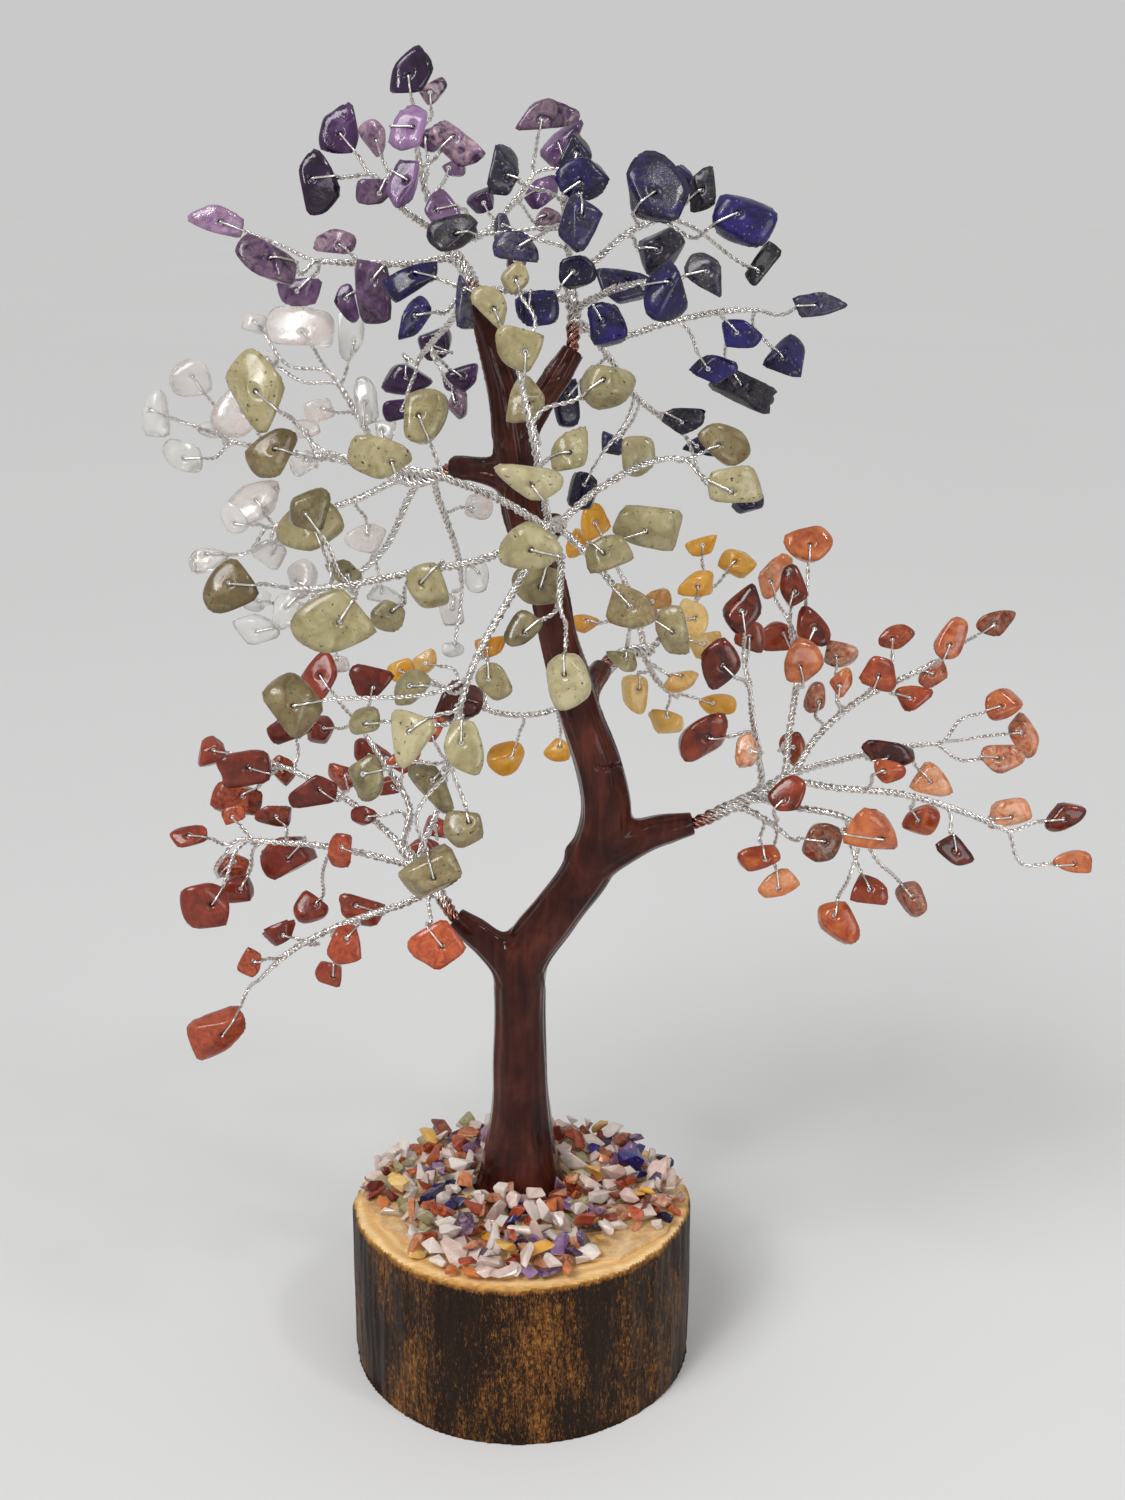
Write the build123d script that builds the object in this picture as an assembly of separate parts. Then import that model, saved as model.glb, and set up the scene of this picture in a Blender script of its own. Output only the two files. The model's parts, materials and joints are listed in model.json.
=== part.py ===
from build123d import *
import math
import os

import numpy as np

# A tree ornament of tumbled gemstone chips on twisted wire, standing in a slice of log.
# Origin at the middle of the log's underside, +Z up, the front of the tree towards -Y.
# All lengths are millimetres and all angles are degrees.

# Log slice
LOG_DIAMETER = 75.0
LOG_THICKNESS = 37.0
LOG_RIM_BEVEL = 0.8
LOG_RIM_SLOPE = 45.0
CORE_HOLE_DEPTH = 24.0
LOG_OUTLINE_SHARES = (1.0, 1.01, 0.985, 1.0, 0.975, 0.99, 1.005, 0.98, 1.0, 1.01, 0.99, 0.98)

# Glue bed and crushed stone on top of the log
BED_THICKNESS = 0.8
BED_OUTLINE_SHARES = (0.93, 0.9, 0.84, 0.94, 0.95, 0.9, 0.93, 0.95, 0.86, 0.8, 0.84, 0.76, 0.9, 0.93)
GRIT_LENGTH = 4.6
GRIT_HEIGHT = 2.4
GRIT_PITCH = 5.3
GRIT_EDGE_MARGIN = 3.2
GRIT_FOOT_MARGIN = 2.6

# Trunk: a lacquered coat moulded round a bundle of wires
TRUNK_DIAMETER = 12.4
TRUNK_SETBACK = 7.0
FOOT_DIAMETER = 22.0
FOOT_RISE = 5.5
CORE_FOOT_DIAMETER = 7.0
CORE_TOP_DIAMETER = 3.0
CORE_FIT = 0.1
BED_FIT = 0.15

# Wire boughs
ROPE_DIAMETER = 3.0
BRANCH_DIAMETER = 1.7
BRANCH_TIP_DIAMETER = 1.1
TWIG_DIAMETER = 0.85
SOCKET_DEPTH = 2.0
SOCKET_CLEARANCE = 0.2
SOCKET_LIP = 0.35
BOUGH_SWING = 8.0
SEAT_GAP = 0.15
SEAT_RUN = 1.2

# Gemstone chips
CHIP_LENGTH = 14.0
CHIP_MIN_WIDTH = 3.6
CHIP_MIN_THICKNESS = 2.2
DRILL_CLEARANCE = 0.08
WIRE_TAIL = 0.3
WIRE_STANDOFF = 0.7
CHIP_GAP = 0.8
WIRE_GAP = 0.35
DEPTH_STEP = 1.5
BOW_REACH = 1.6
TWIG_LEAD = 6.0

OVERRUN = 1.0

# The crown is laid out as seen from one eye point in front of the tree. A sighted place is
# written as across and down in the pixels of that view, with its depth as a share of
# CROWN_DEPTH, negative towards the eye.
EYE_DISTANCE = 414.0
EYE_ACROSS = 9.0
EYE_RISE = 225.0
EYE_PITCH = 16.35
CROWN_DEPTH = 70.0
FOCAL_PIXELS = 2080.0
CENTRE_ACROSS_PIXELS = 562.5
CENTRE_DOWN_PIXELS = 750.0
CHIP_LENGTH_PIXELS = 67.0

# Main limb of the trunk from above the foot to the top mouth: across, down, depth, girth.
LIMB_PIXELS_AND_SHARES = (
    (520, 1132, 0.0, 1.2),
    (520, 1080, 0.0, 1.0),
    (520, 1000, 0.0, 0.9),
    (522, 958, 0.0, 0.95),
    (556, 912, 0.0, 0.82),
    (588, 868, 0.0, 0.84),
    (606, 820, 0.0, 0.9),
    (600, 770, 0.0, 0.78),
    (578, 706, 0.0, 0.72),
    (560, 646, 0.0, 0.64),
    (547, 585, 0.0, 0.62),
    (526, 525, 0.0, 0.68),
    (516, 450, 0.0, 0.74),
    (506, 385, 0.0, 0.62),
    (490, 335, 0.0, 0.46),
)

# The mouth of each bough, and where its stub leaves the limb, as across, down, depth; the
# girths of the stub at its root and middle as shares of the trunk's diameter.
STUB_PIXELS_AND_SHARES = {
    "jasper": {
        "root": (524, 975, 0.0),
        "middle": (484, 941, 0.0),
        "mouth": (455, 917, 0.02),
        "girths": (0.8, 0.58),
    },
    "carnelian": {
        "root": (596, 858, 0.0),
        "middle": (650, 833, 0.0),
        "mouth": (694, 823, 0.0),
        "girths": (0.8, 0.6),
    },
    "green": {
        "root": (528, 545, 0.0),
        "middle": (540, 534, -0.08),
        "mouth": (556, 524, -0.19),
        "girths": (0.6, 0.5),
    },
    "quartz": {
        "root": (524, 480, 0.0),
        "middle": (484, 471, 0.02),
        "mouth": (452, 467, 0.07),
        "girths": (0.6, 0.48),
    },
    "lapis": {
        "root": (514, 440, 0.0),
        "middle": (548, 390, 0.02),
        "mouth": (574, 350, 0.05),
        "girths": (0.6, 0.46),
    },
    "yellow": {
        "root": (580, 712, 0.0),
        "middle": (588, 690, 0.1),
        "mouth": (602, 668, 0.22),
        "girths": (0.6, 0.48),
    },
}
TOP_MOUTH_PIXELS_AND_SHARE = (478, 303, 0.02)

# Each bough: its rope beyond the mouth, then its branches. A branch has the share of the
# rope's length where it leaves, its route as across, down, depth, and its chips as across,
# down, length, width, lean from level, and depth from the branch.
BOUGHS_PIXELS_AND_SHARES = {
    "amethyst": {
        "rope": ((470, 277, 0.06), (454, 254, 0.1), (440, 234, 0.14)),
        "branches": (
            (1.0, ((428, 200, 0.14), (419, 160, 0.12), (413, 112, 0.1)), (
                (415, 72, 63, 33, 45, 0.0),
                (434, 92, 30, 24, 10, 0.12),
                (410, 141, 90, 34, 67, -0.14),
                (459, 145, 62, 34, -55, -0.05),
                (431, 139, 34, 24, 20, 0.14),
                (452, 168, 24, 20, 0, 0.2),
            )),
            (0.84, ((404, 210, 0.02), (378, 180, -0.08), (352, 160, -0.12)), (
                (343, 130, 52, 42, 80, 0.0),
                (375, 137, 36, 24, -60, 0.12),
                (314, 189, 58, 38, 100, -0.04),
                (375, 194, 36, 26, 10, -0.12),
                (405, 188, 50, 28, 55, -0.14),
            )),
            (0.55, ((412, 264, 0.04), (352, 263, -0.02), (296, 260, -0.08)), (
                (214, 218, 70, 30, -33, 0.0),
                (262, 258, 70, 38, -30, -0.1),
                (289, 292, 64, 28, 8, 0.04),
                (334, 244, 44, 26, -25, 0.1),
                (373, 294, 104, 34, 92, -0.12),
                (348, 304, 44, 20, -70, 0.08),
            )),
            (0.72, ((480, 236, 0.3), (516, 200, 0.44), (546, 158, 0.5)), (
                (549, 116, 66, 34, 25, 0.0),
                (562, 138, 58, 30, 70, 0.14),
                (543, 189, 40, 28, 15, -0.14),
                (549, 218, 30, 22, 0, 0.12),
                (480, 203, 30, 26, 0, 0.1),
                (434, 206, 48, 32, -70, -0.26),
                (520, 262, 40, 24, -20, 0.14),
            )),
            (0.25, ((452, 318, 0.26), (428, 348, 0.42), (408, 372, 0.52)), (
                (398, 376, 66, 30, -15, 0.0),
                (435, 344, 38, 34, 0, 0.14),
                (467, 376, 44, 28, 30, 0.1),
                (398, 410, 32, 22, 0, -0.12),
                (457, 408, 32, 20, 90, -0.1),
            )),
        ),
    },
    "lapis": {
        "rope": ((574, 326, 0.08), (572, 304, 0.08), (570, 284, 0.08)),
        "branches": (
            (1.0, ((568, 248, 0.0), (564, 214, -0.08), (562, 184, -0.14)), (
                (506, 167, 76, 30, 85, -0.1),
                (503, 220, 40, 20, 90, 0.1),
                (579, 150, 38, 28, 50, 0.12),
                (588, 182, 60, 36, 15, -0.06),
                (578, 223, 56, 38, 80, -0.16),
                (450, 240, 54, 36, 20, -0.1),
                (511, 246, 60, 28, -15, -0.14),
            )),
            (0.82, ((594, 262, 0.06), (628, 232, 0.0), (678, 214, -0.02)), (
                (645, 193, 68, 56, -40, -0.1),
                (683, 180, 42, 28, 50, 0.12),
                (703, 184, 58, 28, 80, 0.02),
                (744, 220, 64, 50, -40, -0.08),
                (661, 246, 52, 38, 50, 0.12),
                (762, 264, 66, 20, 58, 0.06),
            )),
            (0.5, ((600, 296, -0.08), (632, 284, -0.22), (664, 276, -0.3)), (
                (670, 292, 58, 48, 90, -0.06),
                (712, 279, 66, 32, -55, 0.1),
                (621, 292, 54, 36, -25, 0.16),
                (607, 326, 48, 42, -60, -0.02),
            )),
            (0.3, ((620, 336, 0.19), (668, 322, 0.26), (724, 312, 0.26), (780, 309, 0.24)), (
                (822, 307, 54, 26, 5, 0.0),
                (742, 334, 44, 28, -15, -0.14),
                (786, 356, 44, 40, 40, 0.06),
                (714, 370, 48, 28, -10, -0.06),
                (750, 390, 80, 36, -10, 0.08),
            )),
            (0.64, ((546, 300, -0.08), (502, 290, -0.22), (446, 290, -0.3)), (
                (535, 308, 46, 38, -10, -0.1),
                (415, 282, 54, 44, 60, 0.08),
                (411, 324, 70, 26, 65, -0.06),
                (465, 301, 96, 18, 92, 0.02),
                (578, 272, 38, 32, 0, -0.12),
            )),
            (0.47, ((604, 352, 0.26), (640, 400, 0.44), (684, 434, 0.52)), (
                (689, 422, 58, 24, 3, -0.08),
                (701, 446, 34, 20, 0, 0.08),
                (613, 443, 30, 24, 0, 0.1),
                (584, 490, 40, 30, 90, 0.0),
                (752, 500, 34, 28, 0, 0.12),
                (566, 404, 48, 28, 90, 0.02),
            )),
        ),
    },
    "quartz": {
        "rope": ((434, 476, 0.16), (412, 480, 0.24), (388, 472, 0.32)),
        "branches": (
            (0.78, ((372, 440, 0.36), (350, 402, 0.42), (326, 366, 0.44)), (
                (295, 331, 74, 44, -20, 0.0),
                (252, 322, 26, 20, 0, 0.12),
                (264, 361, 28, 24, 20, 0.08),
                (352, 336, 60, 28, 100, 0.1),
                (368, 396, 56, 26, 80, -0.12),
                (319, 409, 32, 24, 0, -0.1),
                (386, 430, 28, 24, 40, 0.12),
            )),
            (1.0, ((330, 458, 0.42), (272, 450, 0.48), (214, 438, 0.54)), (
                (188, 379, 46, 42, 30, 0.0),
                (151, 404, 56, 30, 100, 0.06),
                (180, 455, 54, 30, -35, -0.04),
                (237, 415, 58, 46, 20, -0.1),
                (213, 430, 32, 20, 0, 0.12),
                (304, 432, 26, 22, 0, 0.12),
                (302, 462, 30, 24, 20, -0.1),
            )),
            (0.62, ((354, 500, 0.34), (300, 518, 0.4), (252, 532, 0.44)), (
                (250, 505, 60, 44, 10, 0.06),
                (233, 520, 36, 28, -40, -0.12),
                (200, 558, 64, 28, 20, 0.0),
                (269, 552, 42, 28, -20, 0.06),
                (363, 536, 42, 30, 0, 0.1),
            )),
            (0.44, ((384, 548, 0.34), (344, 582, 0.42), (300, 602, 0.48)), (
                (250, 631, 56, 32, 5, 0.0),
                (254, 603, 36, 26, 0, 0.1),
                (283, 610, 38, 34, 30, -0.1),
                (301, 578, 40, 32, 60, 0.1),
                (387, 592, 36, 22, 0, 0.08),
                (334, 662, 32, 20, 10, 0.06),
            )),
            (0.26, ((446, 520, 0.24), (458, 560, 0.3), (464, 604, 0.34)), (
                (478, 508, 30, 26, 0, 0.08),
                (480, 578, 36, 24, 90, 0.0),
                (452, 612, 44, 26, 90, 0.1),
                (452, 646, 24, 20, 0, -0.04),
            )),
        ),
    },
    "green": {
        "rope": ((558, 524, -0.28), (552, 526, -0.37), (548, 530, -0.46)),
        "branches": (
            (0.74, ((500, 500, -0.5), (430, 474, -0.6), (360, 462, -0.66), (300, 444, -0.7)), (
                (252, 382, 98, 50, -60, -0.02),
                (272, 457, 60, 38, 45, 0.1),
                (384, 460, 72, 44, -5, -0.12),
                (427, 414, 64, 52, 30, 0.02),
            )),
            (0.88, ((490, 556, -0.54), (420, 572, -0.6), (340, 586, -0.64), (270, 590, -0.62)), (
                (308, 508, 50, 42, 60, -0.08),
                (306, 530, 72, 48, 10, 0.1),
                (224, 588, 60, 56, 45, 0.0),
                (339, 569, 86, 28, -35, 0.12),
                (331, 625, 78, 62, 20, -0.1),
                (388, 614, 38, 30, 0, 0.1),
                (427, 588, 52, 44, -60, -0.06),
            )),
            (1.0, ((510, 600, -0.6), (476, 660, -0.68), (456, 720, -0.7), (450, 786, -0.66)), (
                (404, 736, 60, 56, 30, -0.08),
                (406, 692, 60, 30, 60, 0.12),
                (466, 748, 60, 42, -50, -0.1),
                (360, 722, 44, 30, 0, 0.04),
                (437, 787, 66, 34, -55, 0.1),
                (363, 780, 50, 38, 90, -0.04),
                (465, 826, 46, 38, 20, -0.06),
                (425, 876, 76, 52, 10, 0.0),
                (490, 684, 44, 34, -70, -0.1),
                (292, 697, 76, 48, -65, 0.0),
            )),
            (0.58, ((538, 470, -0.48), (528, 410, -0.5), (512, 340, -0.44)), (
                (490, 303, 62, 28, -60, 0.0),
                (519, 352, 52, 48, 0, -0.12),
                (532, 399, 58, 42, 70, -0.02),
                (517, 277, 32, 26, 60, 0.1),
                (576, 449, 62, 34, 50, -0.1),
                (522, 484, 82, 36, 0, -0.12),
                (611, 380, 60, 48, 20, 0.08),
            )),
            (0.3, ((602, 486, -0.26), (650, 462, -0.28), (700, 458, -0.3)), (
                (637, 459, 54, 34, 80, 0.1),
                (725, 447, 52, 40, 0, 0.08),
                (737, 489, 56, 42, 20, -0.06),
            )),
            (0.44, ((590, 558, -0.36), (620, 594, -0.42), (652, 630, -0.44)), (
                (610, 556, 56, 38, 0, -0.12),
                (636, 611, 56, 44, -40, -0.12),
                (674, 640, 60, 34, 85, 0.02),
                (656, 530, 84, 46, 0, 0.04),
                (622, 660, 34, 26, 20, 0.1),
            )),
            (0.66, ((562, 560, -0.54), (560, 604, -0.64), (566, 646, -0.68)), (
                (523, 552, 64, 50, 20, -0.12),
                (534, 586, 54, 42, -20, 0.1),
                (571, 679, 62, 54, -50, 0.0),
                (521, 637, 44, 34, 35, 0.08),
            )),
        ),
    },
    "yellow": {
        "rope": ((618, 656, 0.3), (634, 652, 0.38), (650, 650, 0.46)),
        "branches": (
            (1.0, ((676, 620, 0.5), (700, 596, 0.52), (716, 574, 0.52)), (
                (708, 545, 44, 20, 3, 0.0),
                (740, 562, 40, 30, 20, 0.04),
                (702, 584, 40, 28, 10, -0.12),
                (698, 615, 40, 38, 60, -0.1),
                (708, 644, 36, 28, 0, 0.08),
            )),
            (0.8, ((636, 612, 0.54), (620, 574, 0.6), (604, 546, 0.62)), (
                (596, 518, 42, 28, 80, 0.0),
                (573, 546, 32, 28, 30, 0.08),
                (583, 622, 30, 22, 0, 0.1),
                (656, 600, 32, 22, 20, 0.12),
            )),
            (0.6, ((656, 680, 0.5), (672, 694, 0.56), (690, 706, 0.6)), (
                (686, 677, 36, 22, 10, -0.14),
                (636, 694, 42, 28, 80, -0.04),
                (662, 718, 42, 26, 10, 0.04),
                (718, 703, 42, 22, 0, 0.04),
            )),
            (0.36, ((590, 688, 0.48), (544, 712, 0.6), (496, 712, 0.66), (446, 688, 0.7)), (
                (507, 759, 40, 34, 20, 0.0),
                (397, 672, 32, 26, 30, 0.0),
                (492, 648, 38, 24, 0, 0.04),
                (428, 660, 30, 22, 50, 0.1),
                (556, 748, 32, 24, 0, 0.06),
            )),
        ),
    },
    "carnelian": {
        "rope": ((722, 811, 0.02), (756, 795, 0.04), (790, 776, 0.06)),
        "branches": (
            (0.62, ((758, 756, -0.06), (752, 712, -0.14), (748, 668, -0.18)), (
                (700, 739, 58, 54, 30, -0.1),
                (750, 758, 58, 26, 85, -0.14),
                (716, 667, 52, 50, 20, -0.06),
                (742, 604, 60, 36, 85, 0.02),
                (753, 636, 36, 34, 0, 0.12),
            )),
            (0.8, ((788, 738, 0.14), (796, 690, 0.24), (802, 634, 0.3)), (
                (816, 546, 54, 40, 10, 0.0),
                (772, 575, 62, 30, 70, 0.08),
                (796, 587, 42, 30, 80, -0.12),
                (778, 635, 40, 34, 20, 0.06),
                (817, 625, 40, 38, 60, -0.1),
                (802, 662, 50, 42, 50, -0.16),
                (793, 742, 42, 26, 90, 0.12),
            )),
            (1.0, ((816, 738, 0.12), (856, 702, 0.14), (900, 680, 0.16), (950, 656, 0.18)), (
                (840, 656, 38, 30, 0, 0.12),
                (843, 684, 32, 24, 30, -0.08),
                (819, 698, 38, 22, 85, 0.14),
                (897, 638, 42, 22, 25, 0.1),
                (882, 674, 40, 38, 0, -0.12),
                (914, 698, 36, 32, 10, -0.06),
                (952, 640, 48, 32, 40, -0.12),
                (1000, 622, 54, 24, 25, 0.0),
                (938, 670, 54, 24, 25, 0.14),
            )),
            (0.86, ((842, 760, 0.24), (896, 748, 0.32), (956, 742, 0.36)), (
                (1004, 706, 44, 36, 20, 0.0),
                (1023, 738, 50, 28, -70, 0.06),
                (1002, 760, 44, 32, 0, -0.08),
                (896, 757, 78, 30, -5, -0.12),
                (933, 786, 48, 38, -45, -0.14),
            )),
            (0.74, ((838, 788, -0.02), (900, 794, -0.06), (962, 812, -0.08), (1024, 838, -0.08)), (
                (1015, 813, 50, 32, 25, 0.1),
                (1068, 818, 46, 28, 10, 0.06),
                (1078, 864, 44, 28, -15, -0.02),
                (958, 858, 62, 28, -55, -0.06),
                (922, 820, 40, 36, 0, 0.12),
                (888, 772, 36, 22, 0, -0.12),
            )),
            (0.5, ((790, 806, -0.14), (834, 814, -0.22), (868, 828, -0.28)), (
                (891, 837, 78, 46, -5, -0.04),
                (873, 892, 44, 34, -30, 0.0),
                (915, 898, 40, 34, -35, 0.06),
                (839, 919, 56, 36, -40, 0.04),
            )),
            (0.32, ((772, 824, -0.02), (790, 838, -0.06), (806, 850, -0.1)), (
                (821, 846, 46, 44, 80, -0.12),
                (759, 861, 50, 28, 10, -0.02),
                (772, 889, 50, 28, 15, 0.06),
                (788, 798, 44, 34, 40, -0.12),
            )),
        ),
    },
    "jasper": {
        "rope": ((442, 898, 0.06), (424, 874, 0.12), (400, 844, 0.2)),
        "branches": (
            (0.3, ((398, 906, 0.0), (340, 926, -0.04), (290, 952, -0.06), (246, 992, -0.08)), (
                (216, 1036, 68, 50, 30, 0.0),
                (276, 938, 68, 24, 20, 0.1),
                (251, 963, 32, 28, 40, -0.1),
                (345, 943, 44, 36, 70, -0.1),
                (330, 974, 34, 30, 0, 0.02),
                (350, 906, 56, 32, 0, 0.12),
                (436, 946, 60, 50, 15, -0.12),
            )),
            (0.5, ((382, 858, 0.1), (326, 846, 0.12), (270, 842, 0.12), (222, 838, 0.12)), (
                (183, 837, 52, 24, 0, 0.0),
                (207, 904, 50, 50, 30, -0.12),
                (229, 817, 28, 20, 0, 0.12),
                (272, 816, 40, 24, 0, 0.1),
                (340, 852, 46, 28, 65, -0.14),
                (282, 858, 58, 44, 20, 0.12),
                (230, 862, 40, 30, 0, 0.14),
                (237, 890, 36, 32, 20, 0.1),
                (312, 906, 38, 34, 0, 0.14),
            )),
            (1.0, ((356, 806, 0.3), (308, 778, 0.36), (262, 758, 0.4)), (
                (242, 768, 66, 40, 20, -0.12),
                (236, 796, 58, 36, 0, 0.02),
                (210, 752, 38, 30, 30, 0.1),
                (282, 764, 38, 24, 90, 0.12),
                (314, 790, 54, 36, 20, -0.12),
                (342, 776, 34, 30, 10, 0.12),
                (289, 726, 54, 32, 10, 0.02),
            )),
            (0.78, ((410, 806, 0.38), (378, 754, 0.42), (350, 712, 0.46)), (
                (318, 681, 48, 38, 40, 0.0),
                (322, 731, 34, 30, 60, 0.1),
                (367, 686, 54, 34, -20, 0.0),
                (364, 752, 52, 26, -25, 0.14),
                (408, 761, 40, 22, 10, -0.06),
                (389, 786, 30, 22, 0, 0.12),
                (364, 818, 30, 24, 0, -0.12),
            )),
            (0.56, ((436, 816, 0.32), (446, 772, 0.44), (450, 734, 0.52)), (
                (461, 700, 56, 42, 50, 0.0),
                (436, 730, 36, 24, 20, -0.14),
                (416, 850, 44, 22, 10, 0.12),
                (440, 826, 32, 24, 0, 0.12),
            )),
        ),
    },
}

# Shapes shared by the chips: outlines in shares of a chip's length and width.
CHIP_OUTLINES_SHARES = (
    ((-0.5, -0.14), (-0.2, -0.5), (0.36, -0.42), (0.5, 0.12), (-0.12, 0.5)),
    ((-0.5, 0.16), (-0.3, -0.5), (0.5, -0.3), (0.3, 0.5)),
    ((-0.46, -0.36), (0.34, -0.5), (0.5, 0.06), (-0.32, 0.5)),
    ((-0.5, -0.2), (0.28, -0.5), (0.5, 0.26), (-0.24, 0.5)),
)
CHIP_THICKNESS_SHARE = 0.5
FACE_SHARE = 0.66
HOLE_SHARE = 0.12
BODY_SHARE = 0.53
ROLL_SHARES = (0.0, 0.7, -0.6, 0.35, -1.0, 0.9, -0.3, 0.5)
ROLL_ANGLE = 16.0
CHIP_DEPTH_TRIES = 16
STEEP_TURN_SHARE = -0.25
SHALLOW_LEAVE_SHARE = 0.5
TWIG_LEAD_SHARES = (1.0, 0.6, 1.5, 0.2, 2.2, 3.0)
BOW_SIZES_SHARES = (1.0, 2.0, 3.2)
FOOT_WAIST_SHARE = 0.88
TWIG_SIDES = 3
BRANCH_SIDES = 4
ROPE_SIDES = 6
CORE_SIDES = 6
LIMB_RIDGES = 10
SOCKET_SIDES = 12

GRIT_GEM_ORDER = (
    "quartz", "carnelian", "quartz", "jasper", "amethyst", "quartz", "green", "carnelian",
    "lapis", "quartz", "jasper", "yellow", "carnelian", "amethyst", "quartz", "jasper",
)
GRIT_OUTLINES_SHARES = (
    ((-0.5, -0.3), (0.4, -0.5), (0.5, 0.2), (-0.1, 0.5)),
    ((-0.5, -0.4), (0.5, -0.3), (0.0, 0.5)),
    ((-0.4, -0.5), (0.5, -0.1), (0.2, 0.5), (-0.5, 0.3)),
)
GRIT_WIDTH_SHARE = 0.72
GRIT_TOP_SHARE = 0.62
TURN_OF_SUNFLOWER = 137.5

UP = np.array((0.0, 0.0, 1.0))
ACROSS = np.array((1.0, 0.0, 0.0))
DEEPER = np.array((0.0, 1.0, 0.0))
PITCH = math.radians(EYE_PITCH)
SIGHT = np.array((0.0, math.cos(PITCH), -math.sin(PITCH)))
SIGHT_UP = np.array((0.0, math.sin(PITCH), math.cos(PITCH)))
EYE = np.array((EYE_ACROSS, -EYE_DISTANCE, LOG_THICKNESS + EYE_RISE))


def unit(vector):
    return vector / np.linalg.norm(vector)


def seen(across, down, depth_share):
    """The point at a sighted place: where its sight line meets the plane of that depth."""
    right_share = (across - CENTRE_ACROSS_PIXELS) / FOCAL_PIXELS
    up_share = (CENTRE_DOWN_PIXELS - down) / FOCAL_PIXELS
    line = SIGHT + right_share * ACROSS + up_share * SIGHT_UP
    return EYE + line * (depth_share * CROWN_DEPTH - EYE[1] + TRUNK_SETBACK) / line[1]


def sighted_length(pixels, point):
    """The real length of a span in the view, for a chip at that point."""
    return CHIP_LENGTH * pixels / CHIP_LENGTH_PIXELS * (point - EYE)[1] / EYE_DISTANCE


def to_vectors(points):
    return [Vector(*(float(value) for value in point)) for point in points]


def flat_faced_solid(faces):
    """A closed solid from flat faces, each an outer loop of points and a list of holes."""
    made = []
    for outer, holes in faces:
        outer_wire = Wire.make_polygon(to_vectors(outer), close=True)
        hole_wires = [Wire.make_polygon(to_vectors(hole), close=True) for hole in holes]
        made.append(Face(outer_wire, hole_wires))
    return Solid(Shell(made))


def sides_between(low_ring, high_ring):
    """The flat sides between two rings of corners that run the same way round."""
    count = len(low_ring)
    following = [(k + 1) % count for k in range(count)]
    return [((low_ring[k], low_ring[n], high_ring[n], high_ring[k]), ()) for k, n in enumerate(following)]


def halved(faces):
    """Four-cornered faces cut in two, for sides that a taper leaves slightly twisted."""
    halves = []
    for (first, second, third, fourth), _ in faces:
        halves += [((first, second, third), ()), ((first, third, fourth), ())]
    return halves


def wire_solid(points, radii, sides, side_axis):
    """Straight runs of wire with a regular section, mitred at each bend, flat faces all over."""
    runs = [unit(after - before) for before, after in zip(points, points[1:])]
    x_axis = unit(side_axis - runs[-1] * np.dot(side_axis, runs[-1]))
    y_axis = np.cross(runs[-1], x_axis)
    turns = [math.tau * k / sides for k in range(sides)]
    ring = [points[-1] + radii[-1] * (math.cos(t) * x_axis + math.sin(t) * y_axis) for t in turns]
    rings = [ring]
    for index in range(len(runs) - 1, -1, -1):
        run = runs[index]
        cut = unit(run + runs[index - 1]) if index else run
        taper = radii[index] / radii[index + 1]
        slid = [corner + run * np.dot(points[index] - corner, cut) / np.dot(run, cut) for corner in ring]
        ring = [points[index] + taper * (corner - points[index]) for corner in slid]
        rings.append(ring)
    rings.reverse()
    faces = [(tuple(reversed(rings[0])), ()), (tuple(rings[-1]), ())]
    tapered = len(set(radii)) > 1
    for low_ring, high_ring in zip(rings, rings[1:]):
        sides_here = sides_between(low_ring, high_ring)
        faces += halved(sides_here) if tapered else sides_here
    return flat_faced_solid(faces)


def segment_distances(start, end, starts, ends):
    """The least distances from one straight run to many."""
    tiny = 1e-9
    first = end - start
    others = ends - starts
    offset = start - starts
    a = max(np.dot(first, first), tiny)
    e = np.maximum(np.sum(others * others, axis=1), tiny)
    b = others @ first
    c = offset @ first
    f = np.sum(others * offset, axis=1)
    slope = a * e - b * b
    s = np.where(slope > tiny, np.clip((b * f - c * e) / np.maximum(slope, tiny), 0.0, 1.0), 0.0)
    t = np.clip((b * s + f) / e, 0.0, 1.0)
    s = np.clip((b * t - c) / a, 0.0, 1.0)
    apart = offset + s[:, None] * first - t[:, None] * others
    return np.sqrt(np.sum(apart * apart, axis=1))


class Room:
    """What already fills the crown, as round rods, to keep the next piece clear of it."""

    def __init__(self):
        self.starts = np.zeros((0, 3))
        self.ends = np.zeros((0, 3))
        self.radii = np.zeros(0)
        self.owners = []

    def add(self, points, radii, owner):
        for start, end, radius in zip(points, points[1:], radii):
            self.starts = np.vstack((self.starts, start))
            self.ends = np.vstack((self.ends, end))
            self.radii = np.append(self.radii, radius)
            self.owners.append(owner)

    def gap(self, points, radius, left_out):
        """The least gap from a run of rods to all pieces but those left out."""
        keep = np.array([owner not in left_out for owner in self.owners], dtype=bool)
        least = math.inf
        for start, end in zip(points, points[1:]):
            far = segment_distances(start, end, self.starts[keep], self.ends[keep])
            least = min(least, float(np.min(far - self.radii[keep])) - radius)
        return least


def along(points, distance):
    """The point, the direction and the share of length at a distance along a route."""
    lengths = [np.linalg.norm(after - before) for before, after in zip(points, points[1:])]
    total = sum(lengths)
    left = min(max(distance, 0.0), total)
    share = left / total
    for start, end, length in zip(points, points[1:], lengths):
        if left <= length:
            return start + (end - start) * left / length, unit(end - start), share
        left -= length
    return points[-1], unit(points[-1] - points[-2]), share


def route_length(points):
    return sum(np.linalg.norm(after - before) for before, after in zip(points, points[1:]))


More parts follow.
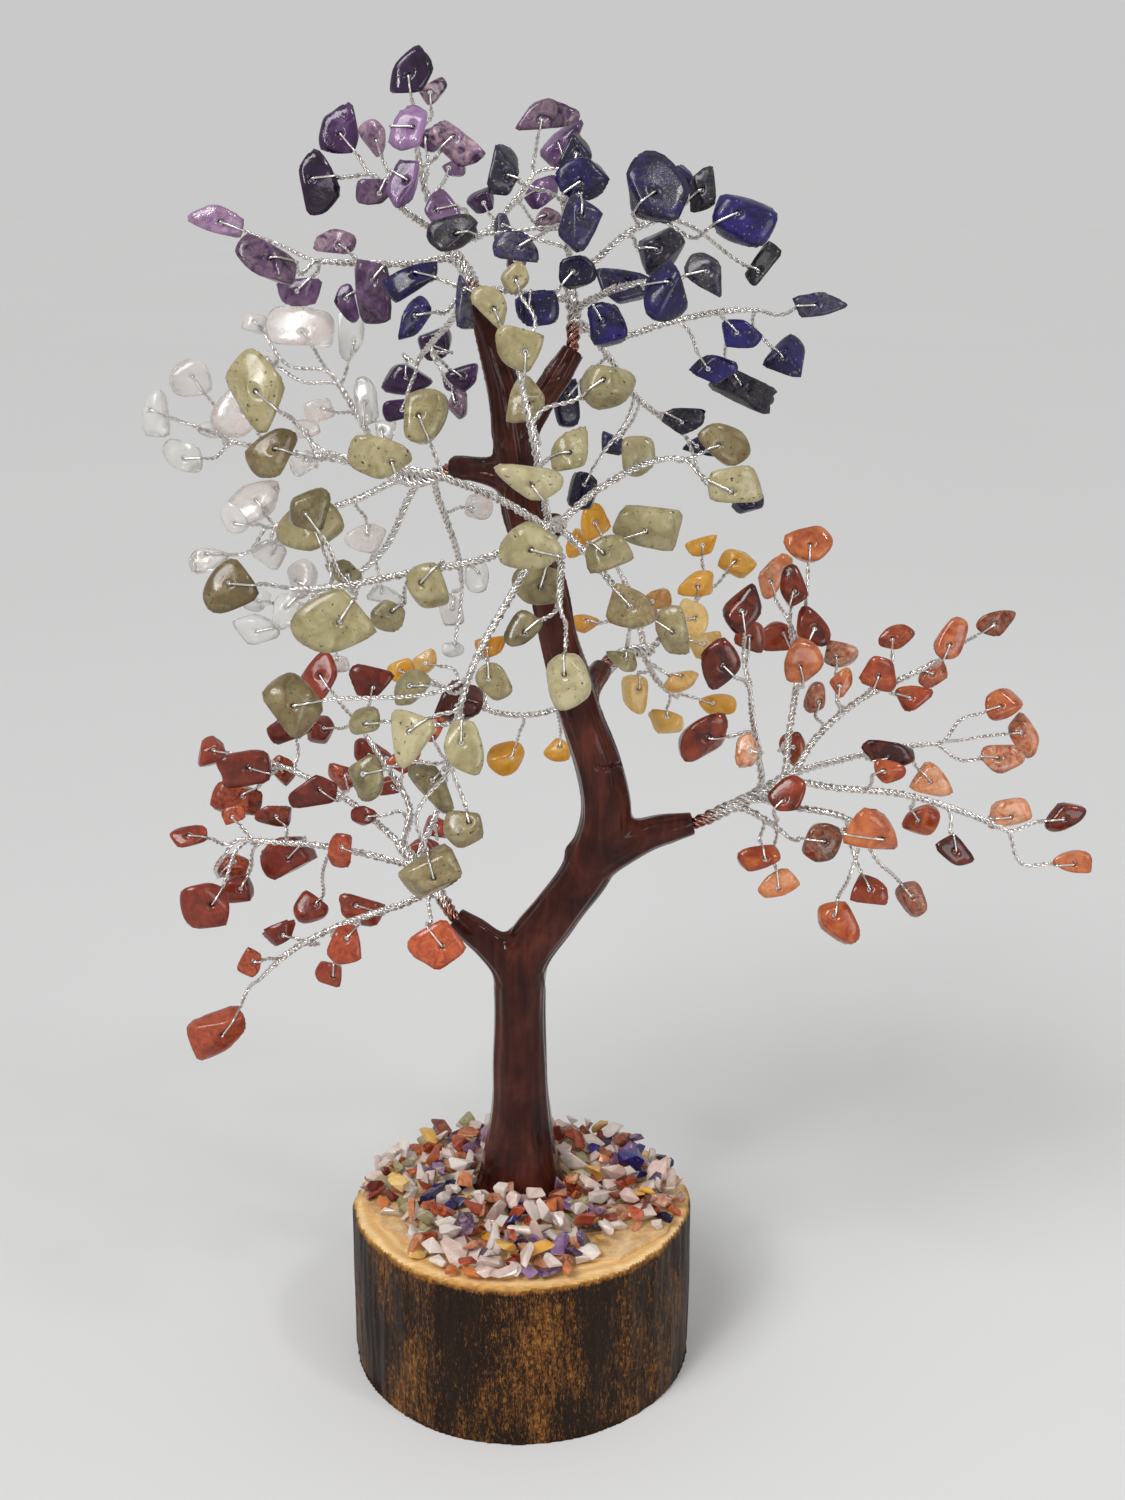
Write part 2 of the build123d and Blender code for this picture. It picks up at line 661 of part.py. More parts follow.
def nearest_along(points, target):
    """The distance along a route at which it passes nearest to a point."""
    best = (math.inf, 0.0)
    passed = 0.0
    for start, end in zip(points, points[1:]):
        run = end - start
        share = min(max(np.dot(target - start, run) / np.dot(run, run), 0.0), 1.0)
        away = np.linalg.norm(start + share * run - target)
        best = min(best, (away, passed + share * np.linalg.norm(run)))
        passed += np.linalg.norm(run)
    return best[1]


def leaving_point(carrier, distance, carrier_radii, radius, target):
    """Where a wire that heads for the target starts, seated beside its carrier or at its end."""
    point, run, share = along(carrier, distance)
    heading = unit(target - point)
    carrier_radius = carrier_radii[0] + (carrier_radii[-1] - carrier_radii[0]) * share
    lean = np.linalg.norm(np.cross(run, heading))
    slant = abs(np.dot(run, heading))
    beside = (carrier_radius + radius * slant + SEAT_GAP) / max(lean, SHALLOW_LEAVE_SHARE)
    if share < 1.0:
        return point + heading * beside, lean
    beyond = (SEAT_GAP + radius * lean) / max(np.dot(run, heading), SHALLOW_LEAVE_SHARE)
    return point + heading * min(beyond, beside), 1.0


# The trunk and its stubs as sighted places turned into points
LIMB_POINTS = [seen(*row[:3]) for row in LIMB_PIXELS_AND_SHARES]
FOOT_POINT = np.array((LIMB_POINTS[0][0], TRUNK_SETBACK, LOG_THICKNESS))
LIMB_RADII = [TRUNK_DIAMETER / 2 * row[3] for row in LIMB_PIXELS_AND_SHARES]
MOUTH_RADIUS = ROPE_DIAMETER / 2 + SOCKET_CLEARANCE + SOCKET_DEPTH * math.tan(math.radians(BOUGH_SWING))
SOCKET_FLAT_SHARE = math.cos(math.pi / SOCKET_SIDES)
STUB_END_RADIUS = (MOUTH_RADIUS + SOCKET_LIP) / math.cos(math.pi / LIMB_RIDGES)
STUBS = {}
for gem, stub in STUB_PIXELS_AND_SHARES.items():
    STUBS[gem] = {
        "points": [seen(*stub["root"]), seen(*stub["middle"]), seen(*stub["mouth"])],
        "radii": [TRUNK_DIAMETER / 2 * share for share in stub["girths"]] + [STUB_END_RADIUS],
    }
STUBS["amethyst"] = {
    "points": LIMB_POINTS[-2:] + [seen(*TOP_MOUTH_PIXELS_AND_SHARE)],
    "radii": LIMB_RADII[-2:] + [STUB_END_RADIUS],
}


def mouth_and_heading(gem):
    points = STUBS[gem]["points"]
    return points[-1], unit(points[-1] - points[-2])


def pivot_of(gem):
    """The bottom of the socket, about which the bough is bent."""
    mouth, heading = mouth_and_heading(gem)
    return mouth - heading * SOCKET_DEPTH


def rope_points(gem):
    """A rope from just above the bottom of its socket to its end."""
    mouth, heading = mouth_and_heading(gem)
    end_room = SOCKET_CLEARANCE + ROPE_DIAMETER / 2 * math.tan(math.radians(BOUGH_SWING))
    start = pivot_of(gem) + heading * end_room
    beyond = [seen(*place) for place in BOUGHS_PIXELS_AND_SHARES[gem]["rope"]]
    return [start, mouth + heading * SOCKET_LIP] + beyond


def branch_points(gem, branch):
    leave_share, route, _ = branch
    rope = rope_points(gem)
    places = [seen(*place) for place in route]
    rope_radii = [ROPE_DIAMETER / 2] * 2
    distance = leave_share * route_length(rope)
    start, _ = leaving_point(rope, distance, rope_radii, BRANCH_DIAMETER / 2, places[0])
    return [start] + places


def branch_radii(points):
    """A branch tapers as its wires leave it."""
    count = len(points) - 1
    drop = (BRANCH_DIAMETER - BRANCH_TIP_DIAMETER) / 2
    return [BRANCH_DIAMETER / 2 - drop * k / count for k in range(count + 1)]


def branch_depth_share(route, across, down):
    """The depth share of a branch where it passes nearest to a place in the view."""
    flat = [np.array((place[0], place[1], 0.0)) for place in route]
    distance = nearest_along(flat, np.array((across, down, 0.0)))
    _, _, share = along(flat, distance)
    deep = [np.array((place[0], place[1], place[2])) for place in route]
    point, _, _ = along(deep, share * route_length(deep))
    return point[2]


class Chip:
    """A drilled chip: its place, axes and size, and the side on which its wire comes in."""

    def __init__(self, row, route, number):
        across, down, length, width, lean, offset_share = row
        self.number = number
        self.place = (across, down, branch_depth_share(route, across, down) + offset_share)
        roll = math.radians(ROLL_ANGLE * ROLL_SHARES[number % len(ROLL_SHARES)])
        angle = math.radians(lean)
        self.long_axis = math.cos(angle) * ACROSS + math.sin(angle) * SIGHT_UP
        cross_axis = np.cross(SIGHT, self.long_axis)
        self.cross_axis = math.cos(roll) * cross_axis + math.sin(roll) * SIGHT
        self.face_axis = np.cross(self.long_axis, self.cross_axis)
        self.spans = (length, width)
        self.end = 1.0
        self.face = 1.0
        self.settle(0.0)

    def settle(self, shift):
        """Set the chip on its sight line, shifted in depth from its sighted place."""
        across, down, depth_share = self.place
        self.centre = seen(across, down, depth_share + shift / CROWN_DEPTH)
        self.length = sighted_length(self.spans[0], self.centre)
        self.width = max(sighted_length(self.spans[1], self.centre), CHIP_MIN_WIDTH)
        self.length = max(self.length, self.width)
        self.thickness = max(self.width * CHIP_THICKNESS_SHARE, CHIP_MIN_THICKNESS)

    def core(self):
        """The rod that stands for the chip's body."""
        reach = self.long_axis * (self.length - self.width) / 2
        return [self.centre - reach, self.centre + reach]

    def hole(self):
        return self.centre + self.end * self.long_axis * HOLE_SHARE * self.length

    def wire_ends(self):
        """The bend of the wire before the hole, and its tail behind the chip."""
        way = self.face * self.face_axis
        bend = self.hole() + way * (self.thickness / 2 + TWIG_DIAMETER / 2 + WIRE_STANDOFF)
        tail = self.hole() - way * (self.thickness / 2 + WIRE_TAIL)
        return bend, tail

    def solid(self):
        outline = CHIP_OUTLINES_SHARES[self.number % len(CHIP_OUTLINES_SHARES)]
        way = self.face * self.face_axis
        side = np.cross(way, self.long_axis)
        ring = [x * self.length * self.long_axis + y * self.width * side for x, y in outline]
        wide = [self.centre - way * self.thickness / 2 + corner for corner in ring]
        narrow = [self.centre + way * self.thickness / 2 + FACE_SHARE * corner for corner in ring]
        drill_radius = TWIG_DIAMETER / 2 + 2 * DRILL_CLEARANCE
        turns = [math.tau * k / TWIG_SIDES for k in range(TWIG_SIDES)]
        drill = [drill_radius * (math.cos(t) * self.long_axis + math.sin(t) * side) for t in turns]
        low = [self.hole() - way * self.thickness / 2 + corner for corner in drill]
        high = [self.hole() + way * self.thickness / 2 + corner for corner in drill]
        faces = [(tuple(reversed(wide)), (tuple(low),)), (tuple(narrow), (tuple(reversed(high)),))]
        faces += sides_between(wide, narrow)
        faces += sides_between(tuple(reversed(low)), tuple(reversed(high)))
        return flat_faced_solid(faces)


def settle_chips(room):
    """Set every chip at its depth, stepping it back or forth until it clears the others."""
    chips = {}
    number = 0
    for gem, bough in BOUGHS_PIXELS_AND_SHARES.items():
        for place, branch in enumerate(bough["branches"]):
            for row in branch[2]:
                chip = Chip(row, branch[1], number)
                clear_chip(chip, room)
                room.add(chip.core(), [chip.width * BODY_SHARE], ("chip", number))
                chips[number] = (gem, place, chip)
                number += 1
    return chips


def clear_chip(chip, room):
    """Try depths, the nearest first, and keep the first that clears all else."""
    best_gap = -math.inf
    best_shift = 0.0
    for attempt in range(2 * CHIP_DEPTH_TRIES):
        way = 1 if attempt % 2 else -1
        shift = way * DEPTH_STEP * ((attempt + 1) // 2)
        chip.settle(shift)
        gap = room.gap(chip.core(), chip.width * BODY_SHARE, ())
        if gap > best_gap:
            best_gap = gap
            best_shift = shift
        if gap >= CHIP_GAP:
            break
    chip.settle(best_shift)
    if best_gap < CHIP_GAP:
        print("chip", chip.number, "stands", round(best_gap, 2), "from its neighbour")


def bowed_routes(start, bend, way):
    """A straight route and bowed ones, each as the points between its ends."""
    run = unit(bend - start)
    aside = unit(np.cross(run, way))
    over = np.cross(aside, run)
    yield []
    middle = (start + bend) / 2
    for size in BOW_SIZES_SHARES:
        for heading in (over, aside, -aside, -over):
            yield [middle + heading * size * BOW_REACH]


def find_twig(chip, line, radii, owner, room):
    """Choose where the twig leaves its branch and how it bows, so that it clears all else."""
    near = nearest_along(line, chip.centre)
    radius = TWIG_DIAMETER / 2
    left_out = (owner, ("chip", chip.number))
    best = (-math.inf, None, 1.0, 1.0)
    for back in TWIG_LEAD_SHARES:
        distance = max(near - back * TWIG_LEAD, 0.0)
        fork, _, _ = along(line, distance)
        chip.end = math.copysign(1.0, np.dot(fork - chip.centre, chip.long_axis))
        for chip.face in (1.0, -1.0):
            way = chip.face * chip.face_axis
            bend, tail = chip.wire_ends()
            for middle in bowed_routes(fork, bend, way):
                first = middle[0] if middle else bend
                start, lean = leaving_point(line, distance, radii, radius, first)
                route = [start] + middle + [bend]
                last_run = unit(bend - route[-2])
                if lean < SHALLOW_LEAVE_SHARE or np.dot(last_run, -way) < STEEP_TURN_SHARE:
                    continue
                beyond = [start + unit(first - start) * SEAT_RUN] + route[1:]
                own_gap = room.gap(beyond, radius, left_out[1:])
                gap = min(room.gap(route, radius, left_out), own_gap, WIRE_GAP)
                if gap > best[0]:
                    best = (gap, route + [tail], chip.end, chip.face)
                if gap >= WIRE_GAP:
                    return best
    return best


def lay_crown():
    """All ropes, branches, chips and twigs, placed in that order, each clear of the rest."""
    room = Room()
    room.add(LIMB_POINTS, LIMB_RADII, ("trunk", 0))
    for gem, stub in STUBS.items():
        room.add(stub["points"][:2], stub["radii"], ("trunk", gem))
        room.add(stub["points"][1:], [STUB_END_RADIUS], ("trunk", gem))
    lines = {}
    for gem, bough in BOUGHS_PIXELS_AND_SHARES.items():
        rope = rope_points(gem)
        room.add(rope[1:], [ROPE_DIAMETER / 2] * len(rope), ("rope", gem))
        for place, branch in enumerate(bough["branches"]):
            line = branch_points(gem, branch)
            radii = branch_radii(line)
            lines[gem, place] = (line, radii)
            gap = room.gap(line, radii[0], (("rope", gem),))
            if gap < WIRE_GAP:
                print("branch", gem, place, "stands", round(gap, 2), "from its neighbour")
            room.add(line, radii, ("branch", gem, place))
    chips = settle_chips(room)
    twigs = {}
    for number, (gem, place, chip) in chips.items():
        line, radii = lines[gem, place]
        gap, route, chip.end, chip.face = find_twig(chip, line, radii, ("branch", gem, place), room)
        if route is None:
            print("chip", number, gem, place, "has no twig")
            continue
        if gap < WIRE_GAP / 2:
            print("twig", number, gem, place, "stands", round(gap, 2), "from its neighbour")
        room.add(route[:-1], [TWIG_DIAMETER / 2] * len(route), ("twig", number))
        twigs[number] = route
    return lines, chips, twigs


def corners_round(point, heading, beside, radius, sides):
    """The corners of a regular section square to a heading."""
    x_axis = unit(beside - heading * np.dot(beside, heading))
    y_axis = np.cross(heading, x_axis)
    turns = [math.tau * k / sides for k in range(sides)]
    return [point + radius * (math.cos(t) * x_axis + math.sin(t) * y_axis) for t in turns]


def ridged_limb(points, radii, beside):
    """A tapering limb with a long ridge over each of the wires that its coat covers."""
    runs = [unit(after - before) for before, after in zip(points, points[1:])]
    headings = [runs[0]] + [unit(before + after) for before, after in zip(runs, runs[1:])] + [runs[-1]]
    rings = []
    for point, radius, heading in zip(points, radii, headings):
        rings.append(corners_round(point, heading, beside, radius, LIMB_RIDGES))
    faces = [(tuple(reversed(rings[0])), ()), (tuple(rings[-1]), ())]
    for low_ring, high_ring in zip(rings, rings[1:]):
        faces += halved(sides_between(low_ring, high_ring))
    return flat_faced_solid(faces)


def socket_hollow(gem):
    """The hollow in a stub's mouth, wider outwards to let its bough swing."""
    mouth, heading = mouth_and_heading(gem)
    beside = np.cross(heading, UP)
    narrow = (ROPE_DIAMETER / 2 + SOCKET_CLEARANCE) / SOCKET_FLAT_SHARE
    wide = (MOUTH_RADIUS + OVERRUN * math.tan(math.radians(BOUGH_SWING))) / SOCKET_FLAT_SHARE
    low_ring = corners_round(pivot_of(gem), heading, beside, narrow, SOCKET_SIDES)
    high_ring = corners_round(mouth + heading * OVERRUN, heading, beside, wide, SOCKET_SIDES)
    faces = [(tuple(reversed(low_ring)), ()), (tuple(high_ring), ())]
    return flat_faced_solid(faces + sides_between(low_ring, high_ring))


def core_route():
    """The wires inside the trunk: up from the hole in the log to below the top mouth."""
    return [FOOT_POINT - UP * CORE_HOLE_DEPTH, FOOT_POINT] + LIMB_POINTS[1:-1:2]


def core_solid(extra):
    points = core_route()
    count = len(points) - 1
    drop = (CORE_FOOT_DIAMETER - CORE_TOP_DIAMETER) / (count - 1)
    radii = [(CORE_FOOT_DIAMETER - drop * max(k - 1, 0)) / 2 + extra for k in range(count + 1)]
    top = points[-1] + unit(points[-1] - points[-2]) * extra
    points = [points[0] - UP * extra] + points[1:-1] + [top]
    return wire_solid(points, radii, CORE_SIDES, DEEPER)


def trunk_coat():
    """The coat from foot to top mouth, with its stubs, hollowed for the core and the ropes."""
    foot_radius = FOOT_DIAMETER / 2
    points = [FOOT_POINT, FOOT_POINT + UP * FOOT_RISE] + LIMB_POINTS + STUBS["amethyst"]["points"][2:]
    radii = [foot_radius, foot_radius * FOOT_WAIST_SHARE] + LIMB_RADII + [STUB_END_RADIUS]
    coat = ridged_limb(points, radii, DEEPER)
    for gem, stub in STUBS.items():
        if gem != "amethyst":
            beside = UP if gem == "green" else DEEPER
            coat = coat + ridged_limb(stub["points"], stub["radii"], beside)
    coat = coat - core_solid(CORE_FIT)
    for gem in STUBS:
        coat = coat - socket_hollow(gem)
    return coat


def ring_of(shares, radius):
    """Points round the log's axis, each at its share of the radius."""
    turns = [math.tau * k / len(shares) for k in range(len(shares))]
    return [(radius * share * math.cos(t), radius * share * math.sin(t)) for share, t in zip(shares, turns)]


def log_slice():
    """A slice with a slightly uneven outline of shallow arcs and a worn upper rim."""
    corners = [Vector(x, y) for x, y in ring_of(LOG_OUTLINE_SHARES, LOG_DIAMETER / 2)]
    corners.append(corners[0])
    arcs = []
    for first, middle, last in zip(corners[0::2], corners[1::2], corners[2::2]):
        arcs.append(Edge.make_three_point_arc(first, middle, last))
    outline = Face(Wire(arcs))
    side_height = LOG_THICKNESS - LOG_RIM_BEVEL
    rim = extrude(outline.moved(Location((0, 0, side_height))), LOG_RIM_BEVEL, taper=LOG_RIM_SLOPE)
    return extrude(outline, side_height) + rim - core_solid(CORE_FIT)


def glue_bed():
    """A thin bed of glue, with a ragged edge, round the foot of the trunk."""
    outline = ring_of(BED_OUTLINE_SHARES, LOG_DIAMETER / 2)
    edge = Face(Wire.make_polygon([Vector(x, y, LOG_THICKNESS) for x, y in outline], close=True))
    hole_radius = FOOT_DIAMETER / 2 + BED_FIT / math.cos(math.pi / LIMB_RIDGES)
    below = FOOT_POINT - UP * OVERRUN
    above = FOOT_POINT + UP * (BED_THICKNESS + OVERRUN)
    low_ring = corners_round(below, UP, DEEPER, hole_radius, LIMB_RIDGES)
    high_ring = corners_round(above, UP, DEEPER, hole_radius, LIMB_RIDGES)
    faces = [(tuple(reversed(low_ring)), ()), (tuple(high_ring), ())]
    return extrude(edge, BED_THICKNESS) - flat_faced_solid(faces + sides_between(low_ring, high_ring))


def bed_reach(turn):
    """The radius of the bed's ragged edge at a turn about the axis."""
    step = math.tau / len(BED_OUTLINE_SHARES)
    before = int(turn // step) % len(BED_OUTLINE_SHARES)
    after = (before + 1) % len(BED_OUTLINE_SHARES)
    return min(BED_OUTLINE_SHARES[before], BED_OUTLINE_SHARES[after]) * LOG_DIAMETER / 2


def grit_places():
    """A sunflower pattern of places on the bed, clear of its edge and of the trunk."""
    keep_off = FOOT_DIAMETER / 2 + GRIT_FOOT_MARGIN
    count = int((LOG_DIAMETER / 2 / GRIT_PITCH) ** 2 * math.pi)
    for k in range(count):
        turn = math.radians(TURN_OF_SUNFLOWER) * k % math.tau
        reach = GRIT_PITCH * math.sqrt((k + 1) / math.pi)
        place = reach * np.array((math.cos(turn), math.sin(turn)))
        if reach < bed_reach(turn) - GRIT_EDGE_MARGIN and np.linalg.norm(place - FOOT_POINT[:2]) > keep_off:
            yield k, place


def grit_stone(number, place):
    """One crushed stone, flat side down on the bed."""
    outline = GRIT_OUTLINES_SHARES[number % len(GRIT_OUTLINES_SHARES)]
    turn = math.radians(TURN_OF_SUNFLOWER) * number * number
    x_axis = math.cos(turn) * ACROSS + math.sin(turn) * DEEPER
    y_axis = np.cross(UP, x_axis)
    middle = np.array((*place, LOG_THICKNESS + BED_THICKNESS))
    width = GRIT_LENGTH * GRIT_WIDTH_SHARE
    ring = [x * GRIT_LENGTH * x_axis + y * width * y_axis for x, y in outline]
    low = [middle + corner for corner in ring]
    high = [middle + UP * GRIT_HEIGHT + GRIT_TOP_SHARE * corner for corner in ring]
    return flat_faced_solid([(tuple(reversed(low)), ()), (tuple(high), ())] + sides_between(low, high))


def save(name, solids):
    shape = solids[0] if len(solids) == 1 else Compound(children=solids)
    export_step(shape, f"parts/{name}.step")


def build():
    os.makedirs("parts", exist_ok=True)
    lines, chips, twigs = lay_crown()
    save("log_base", [log_slice()])
    save("glue_bed", [glue_bed()])
    grit = {}
    for number, place in grit_places():
        gem = GRIT_GEM_ORDER[number % len(GRIT_GEM_ORDER)]
        grit.setdefault(gem, []).append(grit_stone(number, place))
    for gem, stones in grit.items():
        save(f"gravel_{gem}", stones)
    save("trunk_wire_core", [core_solid(0.0)])
    save("trunk_coat", [trunk_coat()])
    for gem, bough in BOUGHS_PIXELS_AND_SHARES.items():
        rope = rope_points(gem)
        save(f"{gem}_rope", [wire_solid(rope, [ROPE_DIAMETER / 2] * len(rope), ROPE_SIDES, DEEPER)])
        branches = [lines[gem, place] for place in range(len(bough["branches"]))]
        save(f"{gem}_branches", [wire_solid(line, radii, BRANCH_SIDES, DEEPER) for line, radii in branches])
        numbers = [number for number, entry in chips.items() if entry[0] == gem]
        save(f"{gem}_chips", [chips[number][2].solid() for number in numbers])
        wires = []
        for number in numbers:
            if number in twigs:
                route = twigs[number]
                radii = [TWIG_DIAMETER / 2] * len(route)
                wires.append(wire_solid(route, radii, TWIG_SIDES, chips[number][2].long_axis))
        save(f"{gem}_twigs", wires)
        print("pivot", gem, [round(float(value), 2) for value in pivot_of(gem)])


build()
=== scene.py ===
import bmesh
import bpy
import json
import math
import numpy as np
from numpy.linalg import norm
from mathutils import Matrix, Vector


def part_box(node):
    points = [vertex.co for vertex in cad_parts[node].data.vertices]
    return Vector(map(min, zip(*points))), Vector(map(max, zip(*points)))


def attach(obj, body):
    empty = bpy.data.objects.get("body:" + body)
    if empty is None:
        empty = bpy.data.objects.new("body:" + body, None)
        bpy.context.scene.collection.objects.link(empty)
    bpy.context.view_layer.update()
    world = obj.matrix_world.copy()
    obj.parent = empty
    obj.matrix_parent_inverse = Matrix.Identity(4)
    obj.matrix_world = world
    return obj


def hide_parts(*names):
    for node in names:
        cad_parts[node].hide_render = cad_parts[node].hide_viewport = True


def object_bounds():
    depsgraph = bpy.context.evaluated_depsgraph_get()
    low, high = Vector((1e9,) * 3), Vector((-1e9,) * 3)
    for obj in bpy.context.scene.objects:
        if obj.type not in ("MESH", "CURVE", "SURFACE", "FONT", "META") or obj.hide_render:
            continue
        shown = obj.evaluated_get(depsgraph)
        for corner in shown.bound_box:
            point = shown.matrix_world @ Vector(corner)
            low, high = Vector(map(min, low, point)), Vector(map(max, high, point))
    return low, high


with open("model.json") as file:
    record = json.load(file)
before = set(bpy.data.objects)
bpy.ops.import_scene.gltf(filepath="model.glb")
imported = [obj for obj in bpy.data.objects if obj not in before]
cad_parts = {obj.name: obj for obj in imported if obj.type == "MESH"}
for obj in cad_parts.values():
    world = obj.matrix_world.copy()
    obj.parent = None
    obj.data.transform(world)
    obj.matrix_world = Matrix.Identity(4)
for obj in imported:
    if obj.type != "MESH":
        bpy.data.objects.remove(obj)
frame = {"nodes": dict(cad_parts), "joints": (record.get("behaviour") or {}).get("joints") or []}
CAD_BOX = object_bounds()

# Lengths are millimetres in the frame's axes, and MM turns them into the scene's metres. Only the
# values under Studio are in metres. A value that ends in EDGE has the place where something sets
# in, and the width over which it grows to its full size.
MM = 0.001
WELD = 0.01
CAD_LOW, CAD_HIGH = (np.array(corner) / MM for corner in CAD_BOX)
LOG_LOW, LOG_HIGH = (np.array(corner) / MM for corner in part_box("log_base"))
LOG_TOP = LOG_HIGH[2]
BED_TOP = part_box("glue_bed")[1].z / MM
GEMS = ("amethyst", "lapis", "quartz", "green", "yellow", "carnelian", "jasper")

# Camera of the photograph, in the pixels of its frame
IMAGE_WIDTH = 1125
IMAGE_HEIGHT = 1500
FOCAL_PIXELS = 2080.0
SENSOR_WIDTH = 36.0
CAMERA_PLACE = np.array((9.0, -414.0, 262.0))
CAMERA_PITCH = math.radians(16.35)

# Drilled chips
DRILL_RADIUS = 0.5
DRILL_BEVEL = 0.08
# Side of the three-cornered hole that the solids have
DRILL_SIDE = 1.013
CHIP_RINGS = 18
CHIP_SEGMENTS = 28
EDGE_SHARPNESS = {
    "amethyst": (8.0, 15.0), "lapis": (11.0, 22.0), "quartz": (5.5, 10.0), "green": (5.5, 11.0),
    "yellow": (6.5, 12.0), "carnelian": (5.5, 10.0), "jasper": (8.0, 16.0),
}
REACH_LIMIT_SHARE = 1.5
SWELL_SHARE = 0.07
RIPPLE_SHARE = 0.012
CHIP_CUTS = 6
CUT_SHARES = (0.76, 0.95)
CUT_LEAN = 0.25
DRILL_LIMIT_SHARE = 0.8
DRILL_PULL_SHARE = 2.6
BORE_RING_SHARE = 0.7
FILL_TURNS = 48
FILL_SLOPES = (-0.5, -0.2, 0.0, 0.2, 0.5)
FILL_ROUNDS = 3
FILL_LIMITS = (0.9, 1.3)
LOOK_REACH_PIXELS = 14.0

# Wires: a bundle has pairs of strands, a strand radius and a pitch
STRAND_RADIUS = 0.24
STRAND_SIDES = 5
CORE_SIDES = 6
CORE_LEAST = 0.12
TWIST_PITCH = 3.0
TWIST_STEP = 0.28
PAIR_PITCH_SHARE = 12.5
LOOP_STEP = 0.3
LOOP_CLEARANCE = 0.06
LOOP_TURNS = np.radians(np.linspace(12.0, 82.0, 8))
LOOP_BORE_SHARES = np.array((1.02, 0.5))
KNOT_GAP = 0.55
KNOT_RISE = 0.5
KNOT_RISE_SHARE = 0.3
LEAD_IN = 4.0
LEAD_LEAST_SHARE = 0.4
LEAD_OUT = 0.15
BRANCH_BUNDLE = (3, 0.25, 7.5)
BRANCH_RADII = (0.98, 0.76)
BRANCH_SPARE_STEPS = 3
ROPE_BUNDLE = (5, 0.34, 11.0)
ROPE_RADII = (1.2, 1.45, 1.68, 1.58)
ROPE_RADII_PLACES = (0.0, 2.2, 5.0)
BUNDLE_STEP = 0.33
TIP_TAPER = 5.0
TIP_SHARE = 0.5
STAIN_REACH = (6.5, 10.0)
# Waves of wire bent by hand: reach, least and most turn along it, share of the reach to the side
TWIG_SWAY = (0.28, 5, 9, 0.8)
BUNDLE_SWAY = (0.25, 6, 10, 0.0)
# Corners in a section of the solids' wires, and the reaches tried to tell their sections apart
ROPE_CORNERS = 6
BRANCH_CORNERS = 4
TWIG_CORNERS = 3
RING_REACHES = np.arange(0.9, 5.0, 0.1)

# Trunk
COAT_VOXEL = 0.4
TRUNK_SETBACK = 7.0
FOOT_RADIUS = 10.8
FOOT_DEPTH = 0.5
# Steps of height and radius from the foot's rim
FOOT_FLARE = ((0.0, 0.0), (2.0, -1.0), (7.0, -2.3))
LIMB_STEP = 1.0
LIMB_SIDES = 40
MOUTH_RADIUS = 1.85
SOCKET_DEPTH = 2.0
SOCKET_TAPER_SHARE = 0.85
SOCKET_TIP = 0.02
FORK_SHARE = 0.6
FORK_REACH = 9.0
FORK_FADE = 3.0
COAT_FOOT_HEIGHT = 0.3
# Knobs, by their pixels across and down, and height
TRUNK_KNOBS = ((567, 849, 0.9), (612, 800, 0.35), (541, 560, 0.3))
KNOB_WIDTH_SHARE = 2.2
# Ridges that wind about the limbs: strength, number, height for a radian, drift and shift
TRUNK_RIDGES = ((1.0, 9, 14.0, 3.0, 0.0), (0.7, 17, -19.0, 4.0, 40.0))
RIDGE_HEIGHT = 0.11
TWISTED_RIDGE_HEIGHT = 0.16
TWISTED_EDGE = (120.0, 70.0)
LUMP_HEIGHT = 0.7
RELIEF_EDGE = (LOG_TOP, 3.0)
MOUTH_EDGE = (2.5, 4.0)
# The crack, in pixels but for its depth
CRACK_EDGE = (594.0, 5.0)
CRACK_END = 640.0
CRACK_DOWN = 766.0
CRACK_WAVE = 2.0
CRACK_WAVE_WIDTH = 5.0
CRACK_WIDTH = 1.6
CRACK_DEPTH = 0.9
CRACK_FACING = -0.1

# Log
LOG_VOXEL = 0.65
LOG_RADIUS = 37.0
LOG_HALF_HEIGHT = 18.0
RIB_STRETCH = 0.12
RIB_HEIGHT = 0.9
SIDE_INSET = 0.45
SIDE_INSET_LIMITS = (0.05, 1.4)
SIDE_LUMP = 0.5
SIDE_EDGE = (33.5, 2.0)
SIDE_TILT = 0.75
RIM_EDGE = (33.0, 3.5)
RIM_DEPTH = 3.0
RAGGED_MEAN = 0.25
RAGGED_HEIGHT = 1.1
RAGGED_LIMIT = 0.9
SAWN_TILT = 0.7
SAWN_RADII = (34.5, 36.4)
RIM_FRINGE = (35.0, 36.9)
RIM_GOLD = (35.9, 36.8)

# Crushed stone
GRIT_SPACING = 4.1
GRIT_ROW_SHARE = 0.87
GRIT_JITTER = 0.6
GRIT_COUNT = 1000
GRIT_HEAP = 4.2
HEAP_EDGE_SHARE = 0.45
HEAP_SLOPE = 6.0
SETTLE_SHARE = 0.6
FIRST_GRIT_SIZES = (2.9, 4.0)
GRIT_SIZES = ((2.2, 3.1), (3.1, 4.1), (3.4, 4.4), (4.1, 5.1))
GRIT_LEANS = (0.2, 0.55)
GRIT_RIM = 36.7
GRIT_RIM_SHARE = 0.35
GRIT_FOOT_OVERLAP = 1.0
GRIT_SINK_SHARE = 0.25
GRIT_CLEARANCE = 0.05
